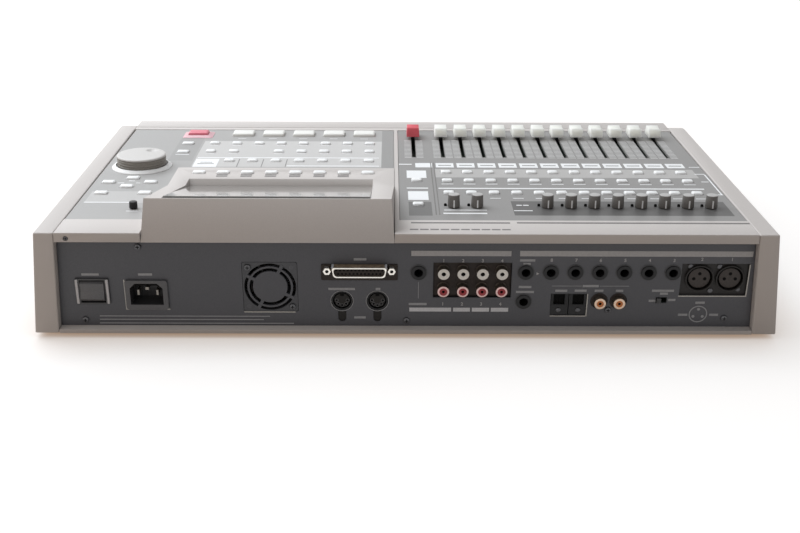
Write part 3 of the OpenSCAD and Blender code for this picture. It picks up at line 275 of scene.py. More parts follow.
grey_print = ink("grey_print", (0.5, 0.5, 0.51), (0.42, 0.42, 0.43))
# The line print also colours the painted highlights round the five-pin sockets.
line_print_and_highlight = ink("line_print_and_highlight", (0.4, 0.41, 0.43), (0.32, 0.33, 0.345))
# The pale print also colours the painted highlights on the port shell's shoulders.
pale_print_and_highlight = ink("pale_print_and_highlight", (0.78, 0.8, 0.84), (0.68, 0.7, 0.74))


def on_rear(shape, x, z):
    """Rear frame to the object's frame: across along X, up along Z, out of the panel along Y."""
    across, up, out = np.moveaxis(np.asarray(shape, float), -1, 0)
    return np.stack([across + x, out + rear_face, up + z], -1)


def skin(name, stacks, material, body="chassis", node=None, loop=False, sharp=35):
    """Closed skins from stacks of rings, each an array of ring by point: quads join ring to ring, and a flat
    face closes each end, or the last ring joins the first where loop is true."""
    points, faces, first = [], [], 0
    for stack in stacks:
        rings, sides = stack.shape[:2]
        spots = np.arange(rings * sides).reshape(rings, sides) + first
        ahead = np.roll(spots, -1, axis=0) if loop else spots[1:]
        here = spots if loop else spots[:-1]
        quads = np.stack([here, np.roll(here, -1, 1), np.roll(ahead, -1, 1), ahead], -1)
        faces += quads.reshape(-1, 4).tolist()
        if not loop:
            faces += [spots[0, ::-1].tolist(), spots[-1].tolist()]
        points.append(stack.reshape(-1, 3))
        first += rings * sides
    mesh = bpy.data.meshes.new(name)
    mesh.from_pydata(np.concatenate(points) / 1000, [], faces)
    work = bmesh.new()
    work.from_mesh(mesh)
    bmesh.ops.recalc_face_normals(work, faces=work.faces)
    work.to_mesh(mesh)
    work.free()
    mesh.shade_smooth()
    mesh.set_sharp_from_angle(angle=math.radians(sharp))
    return fit(name, mesh, material, body, node)


def stacked(outlines, heights):
    """Rings of points: each outline (point, 2) lifted to its height."""
    lifts = np.broadcast_to(np.asarray(heights, float)[:, None, None], (len(heights), len(outlines[0]), 1))
    return np.concatenate([np.asarray(outlines, float), lifts], -1)


def turned(profile, sides=40):
    """Surface of revolution: r (cos a, sin a) at height h for each (r, h) of the profile."""
    angle = np.linspace(0, 2 * np.pi, sides, endpoint=False)
    circle = np.stack([np.cos(angle), np.sin(angle)], -1)
    return stacked([radius * circle for radius, _ in profile], [height for _, height in profile])


def plate(left, right, low, high, base=-0.05, top=0.07):
    """A thin closed plate: one rectangle at two heights."""
    outline = np.array([(left, low), (right, low), (right, high), (left, high)], float)
    return stacked([outline, outline], [base, top])


def rear_marks(rects, top=0.07):
    """Plates on the rear panel, each between two x and two heights and standing out by top."""
    return [on_rear(plate(*rect, top=top), 0, 0) for rect in rects]


def at_each(shape, spots):
    """One shape carried to each (x, height) of the rear panel."""
    return [on_rear(shape, *spot) for spot in spots]


def numerals(name, figures, size, material):
    """Numerals cut from a font as thin closed plates, centred on each (figure, x, height) of the panel."""
    points, faces, first = [], [], 0
    for figure, x, z in figures:
        letter = bpy.data.curves.new(name, "FONT")
        letter.body = figure
        letter.size = size
        letter.align_x = "CENTER"
        letter.align_y = "CENTER"
        letter.extrude = 0.06
        letter.offset = 0.07
        drawn = bpy.data.objects.new(name, letter)
        bpy.context.scene.collection.objects.link(drawn)
        cut = bpy.data.meshes.new_from_object(drawn.evaluated_get(bpy.context.evaluated_depsgraph_get()))
        flat = np.empty(len(cut.vertices) * 3)
        cut.vertices.foreach_get("co", flat)
        points.append(on_rear(flat.reshape(-1, 3) * [-1, 1, 1], x, z))
        faces += [[first + v for v in face.vertices] for face in cut.polygons]
        first += len(cut.vertices)
        bpy.data.objects.remove(drawn)
        bpy.data.meshes.remove(cut)
    mesh = bpy.data.meshes.new(name)
    mesh.from_pydata(np.concatenate(points) / 1000, [], faces)
    work = bmesh.new()
    work.from_mesh(mesh)
    bmesh.ops.remove_doubles(work, verts=work.verts, dist=1e-6)
    bmesh.ops.recalc_face_normals(work, faces=work.faces)
    work.to_mesh(mesh)
    work.free()
    return fit(name, mesh, material)


bars = [(-75.7, -3, 64.6, 68.7), (-251.6, -82, 64.6, 68.9)]
skin("rear_bars", rear_marks(bars), grey_print)
box_ends = [(-33, -2), (-47, -34.5), (-61.2, -48.4), (-75.4, -62.5)]
boxes = [(left, right, 19.2, 22.4) for left, right in box_ends]
skin("rear_label_boxes", rear_marks(boxes), pale_print_and_highlight)
rules = [(-8.7, -8.3, 30, 43.4), (-163.6, -142, 40.4, 40.8), (-128.6, -106.7, 40.4, 40.8)]
rules += [(101.5, 227.6, 14.5, 15.2), (106.1, 227.9, 11.7, 12.4), (83.9, 228.2, 8.6, 9.3)]
skin("rear_rules", rear_marks(rules), line_print_and_highlight)
LABEL_TALL = 1.8
labels = [(224.9, 237.6, 49), (186.1, 196.3, 49.1), (29.6, 38.8, 61.8), (38.1, 57.7, 37.7),
          (19.5, 22.9, 37.8), (30.4, 38.9, 14.1), (-14.8, -1.5, 25.4), (-93.3, -82.2, 61.3),
          (-90.1, -84.7, 58.4), (-91.6, -82.3, 39.7), (-93.8, -80.5, 35.6), (-118.3, -109.4, 36.7),
          (-132.6, -123.8, 36.8), (-144.9, -138.5, 36.8), (-159.6, -154.2, 36.8), (-141.2, -129.4, 40.6),
          (-197.1, -180.8, 36.9), (-192.9, -187, 34.5), (-184.1, -179.2, 28.6), (-198.9, -193.5, 29.3),
          (-221, -214, 27.1), (-209.2, -202.2, 17), (-232.1, -225.6, 17)]
label_rects = [(left, right, z - LABEL_TALL / 2, z + LABEL_TALL / 2) for left, right, z in labels]
skin("rear_labels", rear_marks(label_rects), line_print_and_highlight)
arrow = np.array([(0, 1.1), (0, -1.1), (-2, 0)])
skin("rear_arrow", [on_rear(stacked([arrow, arrow], [-0.05, 0.07]), -94.8, 50.6)], grey_print)
JACK_X = -105.3 - 17.9 * np.arange(6)
PHONO_X = -26.7 - 14.2 * np.arange(4)
socket_figures = [(str(8 - k), x, 61.4) for k, x in enumerate(JACK_X)]
socket_figures += [("2", -215, 62.4), ("1", -237, 62.4)]
socket_figures += [(str(k + 1), x, z) for k, x in enumerate(PHONO_X) for z in (60.8, 25.4)]
numerals("rear_figures", socket_figures, 3.6, grey_print)
PIN_DIAGRAM = (-217, 17.6)
pin_ring = turned([(6.1, -0.05), (6.9, -0.05), (6.9, 0.07), (6.1, 0.07)])
pin_dots = [turned([(1.1, -0.05), (1.1, 0.07)], 16) + [4 * math.cos(a), 4 * math.sin(a), 0]
            for a in np.radians([90, 210, 330])]
skin("pin_diagram_ring", [on_rear(pin_ring, *PIN_DIAGRAM)], line_print_and_highlight, loop=True)
skin("pin_diagram_dots", [on_rear(dot, *PIN_DIAGRAM) for dot in pin_dots], line_print_and_highlight)

screw_places = [(238.3, 12, 0, 1), (0, 11.8, 0, 1), (-236.7, 14.3, 0, 1), (194.6, 71.4, 0, 1),
                (-149.5, 21, 0, 1), (84.3, 23.2, 0, 1), (116.3, 55.2, 0, 1), (243.8, 80.6, 5.4, 0.64)]
pan_head = turned([(1.4, -4.8), (1.4, 0), (2.5, 0.05), (2.5, 0.7), (2.2, 1.15), (1.5, 1.4), (0.5, 1.45)], 28)
# The cross recess of each head is a near-black plate: painted shade.
cross = [plate(-1.3, 1.3, -0.3, 0.3, 1.2, 1.52), plate(-0.3, 0.3, -1.3, 1.3, 1.2, 1.51)]
heads = [on_rear(pan_head * [part, part, 1] + [0, 0, deep], x, z) for x, z, deep, part in screw_places]
crosses = [on_rear(bar * [part, part, 1] + [0, 0, deep], x, z)
           for x, z, deep, part in screw_places for bar in cross]
skin("screw_heads", heads, screw_steel, node="screws")
skin("screw_crosses", crosses, black_and_hole_shade)

# Mains side: a three-pin inlet and a rocker switch in black snap-in mouldings.
# Bright strips on the sheet's cut edges beside the inlet are bare metal brightened as a painted highlight,
# and pale bars flank the rocker.
black_plastic = finish("black_plastic", (0.05, 0.05, 0.052), (0.032, 0.032, 0.034), 0.42, 1300, 0.05)
inlet_grey = finish("inlet_grey", (0.105, 0.105, 0.11), (0.08, 0.08, 0.085), 0.45, 1300, 0.05)
# Bare metal of the sheet's cut edges, brightened as a painted highlight where light catches them.
cut_metal_highlight = finish("cut_metal_highlight", (0.42, 0.4, 0.37), (0.28, 0.265, 0.24), 0.4, 1500, 0.03, 0.6)
bar_grey = finish("bar_grey", (0.66, 0.66, 0.68), (0.54, 0.54, 0.56), 0.35, 1300, 0.03)
nickel = finish("nickel_plate", (0.86, 0.83, 0.77), (0.74, 0.71, 0.65), 0.24, 1100, 0.01, 1.0, patch=200)
# Plated pins darkened well below bare metal as painted shade for the inlet's cavity.
shaded_tin = finish("shaded_tin_plate", (0.26, 0.24, 0.215), (0.19, 0.175, 0.155), 0.38, 1100, 0.01, 0.8, patch=200)
paint("mains_fittings", black_plastic)


def rounded(width, length, radius, steps=4):
    """Outline of a rectangle with rounded corners: four quarter circles about the inner corners."""
    angle = np.linspace(0, np.pi / 2, steps + 1)
    turns = np.arange(4)[:, None] * np.pi / 2 + angle
    corner = np.array([(1, 1), (-1, 1), (-1, -1), (1, -1)]) * [width / 2 - radius, length / 2 - radius]
    return (corner[:, None] + radius * np.stack([np.cos(turns), np.sin(turns)], -1)).reshape(-1, 2)


def bordered(width, length, radius, border, low, high, soft=0.3):
    """A frame of one section: rounded outlines outside and inside, with its upper edges eased."""
    inner = (width - 2 * border, length - 2 * border, max(radius - border, 0.15))
    outlines = [rounded(width, length, radius), rounded(width, length, radius),
                rounded(width - 2 * soft, length - 2 * soft, max(radius - soft, 0.1)),
                rounded(inner[0] + 2 * soft, inner[1] + 2 * soft, inner[2] + soft),
                rounded(*inner), rounded(*inner)]
    return stacked(outlines, [low, high - soft, high, high, high - soft, low])


INLET = (191, 33)
SWITCH = (230.5, 35.7)
EDGE_PROUD = 0.3
flange = bordered(31.3, 23.7, 2, 2.6, 0.05, 2.15)
skin("inlet_flange", [on_rear(flange, *INLET)], inlet_grey, loop=True)
cavity = np.array([(-12, -7.6), (12, -7.6), (12, 5.6), (8, 9.6), (-8, 9.6), (-12, 5.6)])
wide = np.array([(-13.6, -9.6), (13.6, -9.6), (13.6, 10.8), (8.4, 10.8), (-8.4, 10.8), (-13.6, 10.8)])
bore = np.array([(-11.9, -7.4), (11.9, -7.4), (11.9, 4.1), (7.9, 8.1), (-7.9, 8.1), (-11.9, 4.1)])
# A near-black lining round the inlet's mouth is painted shade inside the cavity.
lining = stacked([cavity * 1.02, cavity * 1.02, bore, bore], [1.9, 2.08, 2.08, 1.9])
skin("inlet_lining", [on_rear(lining, *INLET)], black_and_hole_shade, loop=True)
face = stacked([wide, wide, cavity * 1.004, cavity * 1.004], [1.9, 2.2, 2.2, 1.9])
skin("inlet_face", [on_rear(face, *INLET)], inlet_grey, loop=True)
# The pins take the darkened plating: painted shade.
blades = [plate(s * 7 - 0.75, s * 7 + 0.75, -2.05, 2.05, -14, -2.9) for s in (-1, 1)]
blades.append(plate(-1.25, 1.25, 2.95, 5.05, -14, -1.4))
skin("inlet_pins", [on_rear(blade, *INLET) for blade in blades], shaded_tin)
# Strips on the lower and side cut edges of the inlet's opening: painted highlight.
inlet_highlight_strips = [(174.9, 207, 20.3, 21.1), (206.7, 207.5, 20.3, 44.8)]
skin("inlet_edge_highlight", rear_marks(inlet_highlight_strips, EDGE_PROUD), cut_metal_highlight)
post = stacked([rounded(2, 19.6, 0.5), rounded(2, 19.6, 0.5), rounded(1.5, 18.9, 0.4)], [0.5, 1.9, 2.3])
post_spots = [(SWITCH[0] + s * 11.1, SWITCH[1]) for s in (-1, 1)]
skin("switch_side_bars", at_each(post, post_spots), bar_grey)
rocker_plastic = finish("rocker_plastic", (0.12, 0.12, 0.125), (0.085, 0.085, 0.09), 0.36, 1300, 0.05)
dressed("power_rocker", 0.4, rocker_plastic, "power_rocker")

# Fan: a black frame with a turning rotor behind a painted finger guard.
# The guard is a middle plate, a ring and four bridges, and a bright strip on the sheet's lower edge is a
# painted highlight.
FAN = (100.3, 39.2)
paint("fan_frame", finish("frame_plastic", (0.058, 0.06, 0.067), (0.04, 0.041, 0.047), 0.45, 1300, 0.05))
paint("fan_rotor", finish("fan_plastic", (0.03, 0.03, 0.032), (0.015, 0.015, 0.016), 0.5, 900, 0.04))
guard_plate = turned([(12.75, -1.9), (12.75, -0.05), (12.5, 0.15), (3, 0.2)])
skin("fan_guard_plate", [on_rear(guard_plate, *FAN)], rear_paint)
guard_ring = turned([(16.75, -1.9), (16.75, 0.15), (15.25, 0.15), (15.25, -1.9)])
skin("fan_guard_ring", [on_rear(guard_ring, *FAN)], rear_paint, loop=True)
bridge = stacked([rounded(7.4, 2.3, 0.3), rounded(7.4, 2.3, 0.3)], [-1.9, 0.2]) + [16, 0, 0]
spokes = []
for angle in np.radians([28, 118, 208, 298]):
    spin = np.array([(np.cos(angle), np.sin(angle), 0), (-np.sin(angle), np.cos(angle), 0), (0, 0, 1)])
    spokes.append(on_rear(bridge @ spin, *FAN))
skin("fan_guard_bridges", spokes, rear_paint)
plug = turned([(1.85, -1.2), (1.85, 0.05), (1.6, 0.12), (0.3, 0.14)], 20)
plug_spots = [(FAN[0] + s * 16, FAN[1] - s * 16) for s in (-1, 1)]
skin("fan_corner_plugs", at_each(plug, plug_spots), rear_paint)
fan_highlight_strip = plate(-18, 20, -21, -20.2, top=EDGE_PROUD)
skin("fan_edge_highlight", [on_rear(fan_highlight_strip, *FAN)], cut_metal_highlight)

# Digital sockets: a plated 25-way port, two round five-pin sockets and a pair of optical ones.
# Shells are pressed metal and inserts black moulding, all held on the board behind the panel.
PORT = (34.7, 54.2)
bronze = finish("bronze_plate", (0.5, 0.38, 0.26), (0.2, 0.15, 0.1), 0.45, 900, 0.05, 0.2, patch=400)
insert_brown = finish("insert_brown", (0.026, 0.019, 0.014), (0.015, 0.01, 0.008), 0.5, 900, 0.04, gloss=0.25)
jack_black = finish("jack_black", (0.013, 0.013, 0.014), (0.007, 0.007, 0.008), 0.4, 900, 0.03, gloss=0.3)
insert_grey = finish("insert_grey", (0.024, 0.022, 0.02), (0.013, 0.012, 0.011), 0.5, 900, 0.04, gloss=0.2)
paint("digital_sockets", jack_black)
# The flange is drawn near black and set low, so it also stands for the shadow the shell casts below it:
# partly flange, partly painted shadow.
flange_and_shadow = stacked([rounded(55.9, 12.8, 1)] * 2 + [rounded(55.5, 12.4, 0.9)], [0.02, 0.8, 1])
skin("port_flange", [on_rear(flange_and_shadow, PORT[0], PORT[1] - 2.6)], insert_brown)


def port_outline(width, tall, radius=2.2):
    """A D-shaped outline: a rounded rectangle whose width grows with the height, x (1 + k y)."""
    shape = rounded(width - 2, tall, radius, 6)
    shape[:, 0] *= 1 + math.tan(math.radians(10)) * shape[:, 1] / (width / 2 - 1)
    return shape


shell_outer = port_outline(40.8, 8)
shell_inner = port_outline(38.9, 6.1)
shell = stacked([shell_outer, shell_outer, shell_inner, shell_inner], [0.9, 7.3, 7.3, 5.6])
skin("port_shell", [on_rear(shell, *PORT)], bronze, loop=True)
lip_sizes = [(40.9, 8.1), (40.9, 8.1), (40.4, 7.6), (39.3, 6.5), (38.85, 6.05), (38.85, 6.05)]
rolled_lip = stacked([port_outline(*size) for size in lip_sizes], [6.7, 7.5, 7.75, 7.75, 7.5, 6.7])
skin("port_lip", [on_rear(rolled_lip, *PORT)], nickel, loop=True)
# Pale plates at the shell's upper corners are painted highlights where light catches its shoulders.
shoulder_highlight = plate(-0.8, 0.8, 2.9, 4.2, 1, 7.2)
shoulder_highlight_spots = [(PORT[0] + s * 19.4, PORT[1]) for s in (-1, 1)]
skin("port_shoulder_highlights", at_each(shoulder_highlight, shoulder_highlight_spots), pale_print_and_highlight)
port_insert = stacked([port_outline(39, 6.2)] * 2, [5.5, 5.95])
skin("port_insert", [on_rear(port_insert, *PORT)], insert_brown)
# Each contact hole is a near-black disc: painted shade.
contacts = [(2.77 * (i - 6), 1.38) for i in range(13)] + [(2.77 * (i - 5.5), -1.38) for i in range(12)]
contact_spots = [(PORT[0] + a, PORT[1] + b) for a, b in contacts]
contact = turned([(0.75, 5.8), (0.75, 6.02)], 10)
skin("port_contacts", at_each(contact, contact_spots), black_and_hole_shade)
LOCKS = [(PORT[0] + s * 23.52, PORT[1]) for s in (-1, 1)]
hexagon = turned([(3.15, 0.9), (3.15, 4.8), (2.9, 5.15), (1.42, 5.15), (1.42, 3)], 6)
skin("port_screwlocks", at_each(hexagon, LOCKS), nickel, loop=True)
# The screwlocks' threaded holes are near-black discs: painted shade.
skin("port_threads", at_each(turned([(1.4, 3), (1.4, 4.7)], 14), LOCKS), black_and_hole_shade)

ROUNDS = [(34.7 + s * 13.05, 27.9) for s in (-1, 1)]
# A pale ring round each socket stands for light on the sheet's cut edge: a painted highlight.
round_edge_highlight = turned([(8.05, -0.3), (8.05, 0.2), (8.5, 0.2), (8.5, -0.3)])
skin("round_socket_edge_highlights", at_each(round_edge_highlight, ROUNDS), line_print_and_highlight, loop=True)
round_rim = turned([(6.75, -2), (6.75, -0.3), (7, -0.1), (7.6, -0.1), (7.8, -0.3), (7.8, -2)])
skin("round_socket_rims", at_each(round_rim, ROUNDS), jack_black, loop=True)
round_insert = turned([(5.5, -2), (5.5, -1.05), (5, -0.95), (1, -0.9)])
skin("round_socket_inserts", at_each(round_insert, ROUNDS), insert_grey)
pin_arc = [[4 * math.cos(a), -4 * math.sin(a), 0] for a in np.radians([0, 45, 90, 135, 180])]
# Pin holes and the key slot are near-black discs and a plate: painted shade.
pin_hole = turned([(0.95, -1.2), (0.95, -0.8)], 14)
# Grey rims round the pin holes are painted highlights.
pin_rim_highlight = turned([(0.9, -1.1), (1.35, -1.1), (1.35, -0.85), (0.9, -0.85)], 14)
pin_holes = [pin_hole + place for place in pin_arc] + [plate(-1.4, 1.4, 3.6, 5.2, -1.2, -0.8)]
rim_highlights = [on_rear(pin_rim_highlight + place, *spot) for spot in ROUNDS for place in pin_arc]
skin("round_socket_pin_highlights", rim_highlights, inlet_grey, loop=True)
skin("round_socket_pins", [on_rear(pin, *spot) for spot in ROUNDS for pin in pin_holes], black_and_hole_shade)
tongue = stacked([rounded(5.7, 9.4, 2.8), rounded(5.7, 9.4, 2.8)], [-1.9, -0.7]) + [0, -12.4, 0]
skin("round_socket_tabs", at_each(tongue, ROUNDS), insert_grey)

OPTICS = [(-119.9 + s * 7.1, 29.3) for s in (-1, 1)]
optical_frame = bordered(11.8, 11.4, 0.8, 1.2, -1, -0.3, 0.2)
skin("optical_frames", at_each(optical_frame, OPTICS), jack_black, loop=True)
# The shutters are black plastic, and their near-black also stands for the shade inside the mouths.
shutters = [plate(-4.1, -0.1, -4.1, 4.1, -3.2, -2.4), plate(0.1, 4.1, -4.1, 4.1, -3.2, -2.5)]
skin("optical_shutters", [on_rear(door, *spot) for spot in OPTICS for door in shutters], black_and_hole_shade)
small_head = turned([(1.9, -0.7), (1.9, 0.05), (1.5, 0.35), (0.4, 0.45)], 20)
skin("optical_screws", [on_rear(small_head, x, 20.4) for x in (-112.6, -127.2)], screw_steel)
# Bright strips on the lower and side cut edges of the opening: painted highlight.
optical_highlight_strips = [(-133.6, -106.6, 15.4, 16.1), (-133.9, -133.2, 15.4, 34)]
skin("optical_edge_highlight", rear_marks(optical_highlight_strips, EDGE_PROUD), cut_metal_highlight)

# Phone jacks: nine black quarter-inch jacks, each held by a moulded ring nut.
# The nut is domed, and a thin washer shows round it.
JACKS = [(-8.5, 51.4), (-86.9, 51.8), (-86.4, 27.9)] + [(x, 51.8) for x in JACK_X]
paint("phone_jacks", jack_black)
nut = turned([(5.62, 0.05), (5.62, 1.1), (5.3, 1.55), (4.7, 1.75), (3.6, 1.7), (3.2, 1.3), (3.2, -3)], 44)
skin("jack_nuts", at_each(nut, JACKS), jack_black, loop=True)
washer = turned([(5.6, 0.02), (6.35, 0.02), (6.35, 0.3), (6.15, 0.42), (5.6, 0.42)], 44)
skin("jack_washers", at_each(washer, JACKS), black_plastic, loop=True)

# Phono sockets: plated barrels darkened as painted shade, on a dark brown board, white above and red below,
# and two orange ones.
# Each barrel is rolled over a moulded insulator with a contact hole.
WHITES = [(x, 52.2) for x in PHONO_X]
REDS = [(x, 38) for x in PHONO_X]
ORANGES = [(-142.4, 28.4), (-156.6, 28.4)]
PHONOS = WHITES + REDS + ORANGES
socket_board = finish("socket_board", (0.04, 0.029, 0.024), (0.018, 0.013, 0.011), 0.6, 420, 0.08, patch=140,
                      gloss=0.3)
# The barrels are darkened well below plated metal to stand for the shade round the collars: painted shade.
shaded_barrel_plate = finish("shaded_barrel_plate", (0.12, 0.1, 0.08), (0.06, 0.05, 0.04), 0.4, 900, 0.02, 0.5, patch=200)
paint("phono_sockets", socket_board)
barrel = turned([(4.5, -2.5), (4.5, -1.6), (4.22, -1.4), (4.22, 4.8), (4.05, 5.05), (2.9, 5.05), (2.9, 4)])
skin("phono_barrels", at_each(barrel, PHONOS), shaded_barrel_plate, loop=True)
lip = turned([(2.5, 4.9), (4.25, 4.9), (4.25, 5.2), (4.0, 5.34), (2.5, 5.34)])
for colour_name, spots, light in (("pink", REDS, (0.9, 0.62, 0.6)), ("peach", ORANGES, (0.98, 0.74, 0.56))):
    rim = finish(f"rim_{colour_name}", light, [0.86 * tone for tone in light], 0.3, 900, 0.01, 0.3)
    skin(f"phono_lips_{colour_name}", at_each(lip, spots), rim, loop=True)
for colour_name, spots, light, dark, reach, hole in (
        ("white", WHITES, (0.95, 0.94, 0.9), (0.9, 0.89, 0.84), 4.3, 1.6),
        ("red", REDS, (0.4, 0.026, 0.034), (0.29, 0.015, 0.022), 3.05, 1.1),
        ("orange", ORANGES, (0.74, 0.25, 0.06), (0.58, 0.17, 0.035), 2.7, 1.1)):
    collar = turned([(2.6, 3.9), (reach, 5.12), (reach - 0.1, 5.45), (hole + 0.3, 5.45), (hole, 5.2),
                     (hole, 3.9)])
    insulator = finish(f"insulator_{colour_name}", light, dark, 0.35, 900, 0.03)
    skin(f"phono_insulators_{colour_name}", at_each(collar, spots), insulator, loop=True)
# The contact hole in each insulator is a near-black disc: painted shade.
skin("phono_holes", at_each(turned([(2, 3.5), (2, 4.6)], 18), PHONOS), black_and_hole_shade)

# Microphone sockets: a pair of three-pin sockets on one black moulding set into the sheet.
# Pale strips on the sheet's cut edges below and beside them are a painted highlight, with small screws at the
# corners.
MICS = [(-226 + s * 11.25, 47) for s in (-1, 1)]
mic_black = finish("mic_black", (0.02, 0.017, 0.016), (0.01, 0.009, 0.008), 0.5, 700, 0.06, gloss=0.3)
mic_grey = finish("mic_grey", (0.062, 0.052, 0.048), (0.045, 0.038, 0.035), 0.5, 700, 0.05, gloss=0.3)
paint("mic_sockets", mic_black)
mic_rim = turned([(9.45, -1.6), (9.45, 0.5), (9.7, 0.75), (10.3, 0.75), (10.56, 0.5), (10.56, -1.6)], 48)
skin("mic_rims", at_each(mic_rim, MICS), mic_black, loop=True)
mic_insert = turned([(7.95, -2.2), (7.95, -0.8), (7.6, -0.62), (2, -0.6)], 44)
skin("mic_inserts", at_each(mic_insert, MICS), mic_grey)
# Pin holes are near-black discs set in the inserts: painted shade.
mic_hole = turned([(1.25, -0.9), (1.25, -0.5)], 18)
mic_pins = [mic_hole + [a, b, 0] for a, b in ((-4.05, -0.5), (4.05, -0.5), (0, 3.6))]
skin("mic_holes", [on_rear(pin, *spot) for spot in MICS for pin in mic_pins], black_and_hole_shade)
mic_corners = [(-207.6, 56.2), (-229, 56), (-224, 36.4), (-244.4, 37.6)]
skin("mic_screws", at_each(small_head - [0, 0, 0.9], mic_corners), screw_steel)
mic_highlight_strips = [(-250.4, -200.6, 32.2, 33), (-251, -250.2, 32.2, 58.4)]
skin("mic_edge_highlight", rear_marks(mic_highlight_strips, EDGE_PROUD), cut_metal_highlight)

# Phantom switch: a small dark moulded slider that stands out of a slot in the rear panel.
# It is left loose in the switch behind the panel, and snaps from one end of the slot to the other.
slider_black = finish("slider_black", (0.03, 0.03, 0.031), (0.018, 0.018, 0.019), 0.45, 1200, 0.04)
dressed("phantom_slider", 0.3, slider_black, "phantom_slider")

# Cheeks: two long light grey side mouldings with rounded noses, leaning in towards the top.
# They are screwed to the tray and carry the cover between them, and a short return wall runs in behind
# each end of the rear panel.
for side in ("left_cheek", "right_cheek"):
    dressed(side, 1.1, case_plastic, steps=3)


def cheek_side(z):
    """Inner side of a cheek at a height: it leans in by 5 mm over the cheek's 81 mm, up to the top at 85."""
    return 252.3 + 5 * (85 - z) / 81


return_corners = ((0, 158), (1.2, 158), (1.2, 167.2), (0, 167.2))
returns = [np.array([[(s * (cheek_side(z) + step), y, z) for step, y in return_corners] for z in (7.2, 82)])
           for s in (-1, 1)]
skin("cheek_returns", returns, case_plastic)

# Top cover: one moulding with the rear ledge, the middle rib and the rounded front nose.
# The ledge has fine dark print along the rear of the mixer side, and walls close the nose's ends.
dressed("top_cover", 0.5, case_plastic)
joint_named = {joint["name"]: joint for joint in frame["joints"]}
deck_up = np.array(joint_named["jog_dial_turn"]["axis"], float)
deck_back = np.array(joint_named["fader_1_slide"]["axis"], float)
dial_seat = np.array(joint_named["jog_dial_turn"]["pos_m"], float) * 1000
DIAL_ROW = 168.7


def on_deck(shape, x, row):
    """Deck frame to the object's frame: right along X, back along the deck, up square to it; the row is
    counted from the deck's rear edge."""
    right, back, up = np.moveaxis(np.asarray(shape, float), -1, 0)
    return (dial_seat + np.multiply.outer(right + x - dial_seat[0], [1.0, 0, 0])
            + np.multiply.outer(back + DIAL_ROW - row, deck_back) + np.multiply.outer(up, deck_up))


def marks(rects, lift, top=0.07):
    """Printed marks on the deck: thin plates between two x and two rows."""
    return [on_deck(plate(left, right, -far, -near, lift - 0.05, lift + top), 0, 0)
            for left, right, near, far in rects]


# The dark print also fills the nose's groove as painted shade.
dark_print_and_shade = ink("dark_print_and_shade", (0.2, 0.19, 0.185), (0.14, 0.13, 0.125))
ledge_marks = [(-75.5, -2.9, 23.2, 26), (-251.8, -80.6, 23.6, 26.4)]
ledge_marks += [(x, x + 6.2, 8.8, 11.2) for x in np.arange(-74.6, -6, 7.4)]
skin("ledge_print", marks(ledge_marks, 0), dark_print_and_shade)
# A dark strip laid in the nose's groove is painted shade.
skin("nose_groove_shade", marks([(-250, 250, 297.3, 298.1)], -1.1, 0.4), dark_print_and_shade)
bend = np.radians(np.linspace(94, 180, 15))
NOSE_INSIDE = 22.15
nose_arc = zip(-145.3 + NOSE_INSIDE * np.cos(bend), 38.19 + NOSE_INSIDE * np.sin(bend))
nose_end = [(-121, 62.1), *nose_arc, (-163.5, 26), (-121, 26)]
nose_ends = [np.array([[(s * (cheek_side(z) - inset), y, z) for y, z in nose_end] for inset in (0.5, 1.7)])
             for s in (-1, 1)]
skin("nose_ends", nose_ends, case_plastic)

# Display hood: a moulded hood with a flush key strip, rising rims and a leaning rear plate.
# The display lies under a glossy window in its recess.
dressed("display_hood", 0.45, case_plastic)
display_glass = finish("display_glass", (0.30, 0.295, 0.28), (0.26, 0.255, 0.245), 0.08, 300, 0.0, coat=1.0)
paint("lcd_module", display_glass)


# Function keys: eight small white keys in the hood's strip, each on its own dome switch.
# A collar under the strip keeps each key in, and dark marks stand behind the middle six.
def key_stack(width, length, height, surface, skin_t, crown=0.35):
    """A key as one stack of rounded outlines: pin, collar, cap and a softly crowned top."""
    under = surface - skin_t - 0.3
    top = surface + height
    sizes = [(3, 3, 0.2), (3, 3, 0.2), (width + 1.8, length + 1.8, 0.8), (width + 1.8, length + 1.8, 0.8),
             (width, length, 0.8), (width, length, 0.8), (width - 0.35, length - 0.35, 0.8),
             (width - 0.9, length - 0.9, 0.8), (width - 2, length - 2, 0.8), (width - 4.4, length - 4.4, 0.3)]
    heights = [-7.5, under - 0.8, under - 0.8, under, under, top - crown - 0.75, top - crown - 0.3,
               top - crown, top - 0.12, top]
    return stacked([rounded(*size) for size in sizes], heights)


def translucent(material, depth):
    """Light spreads under the surface by a depth in millimetres, as in a pale moulding."""
    shader = material.node_tree.nodes["Principled BSDF"]
    shader.inputs["Subsurface Weight"].default_value = 1
    shader.inputs["Subsurface Scale"].default_value = depth / 1000
    shader.inputs["Subsurface Radius"].default_value = (1, 1, 1)


key_white = finish("key_white", (0.9, 0.9, 0.89), (0.86, 0.86, 0.85), 0.4, 900, 0.03, patch=30)
translucent(key_white, 3)
PANEL = -0.4
FUNCTION_ROW = 147.4
function_x = 31 + 20 * np.arange(8)
strip_key = key_stack(10.2, 6, 1.8, 0.5, 2.5)
skin("function_key_caps", [on_deck(strip_key, x, FUNCTION_ROW) for x in function_x], key_white,
     "function_keys", "function_keys")
label_bars = [(x - 4.6, x + 4.6, row, row + 2.6) for x in function_x[1:7] for row in (136.4, 140.4)]
skin("function_key_marks", marks(label_bars, 0.5), dark_print_and_shade)

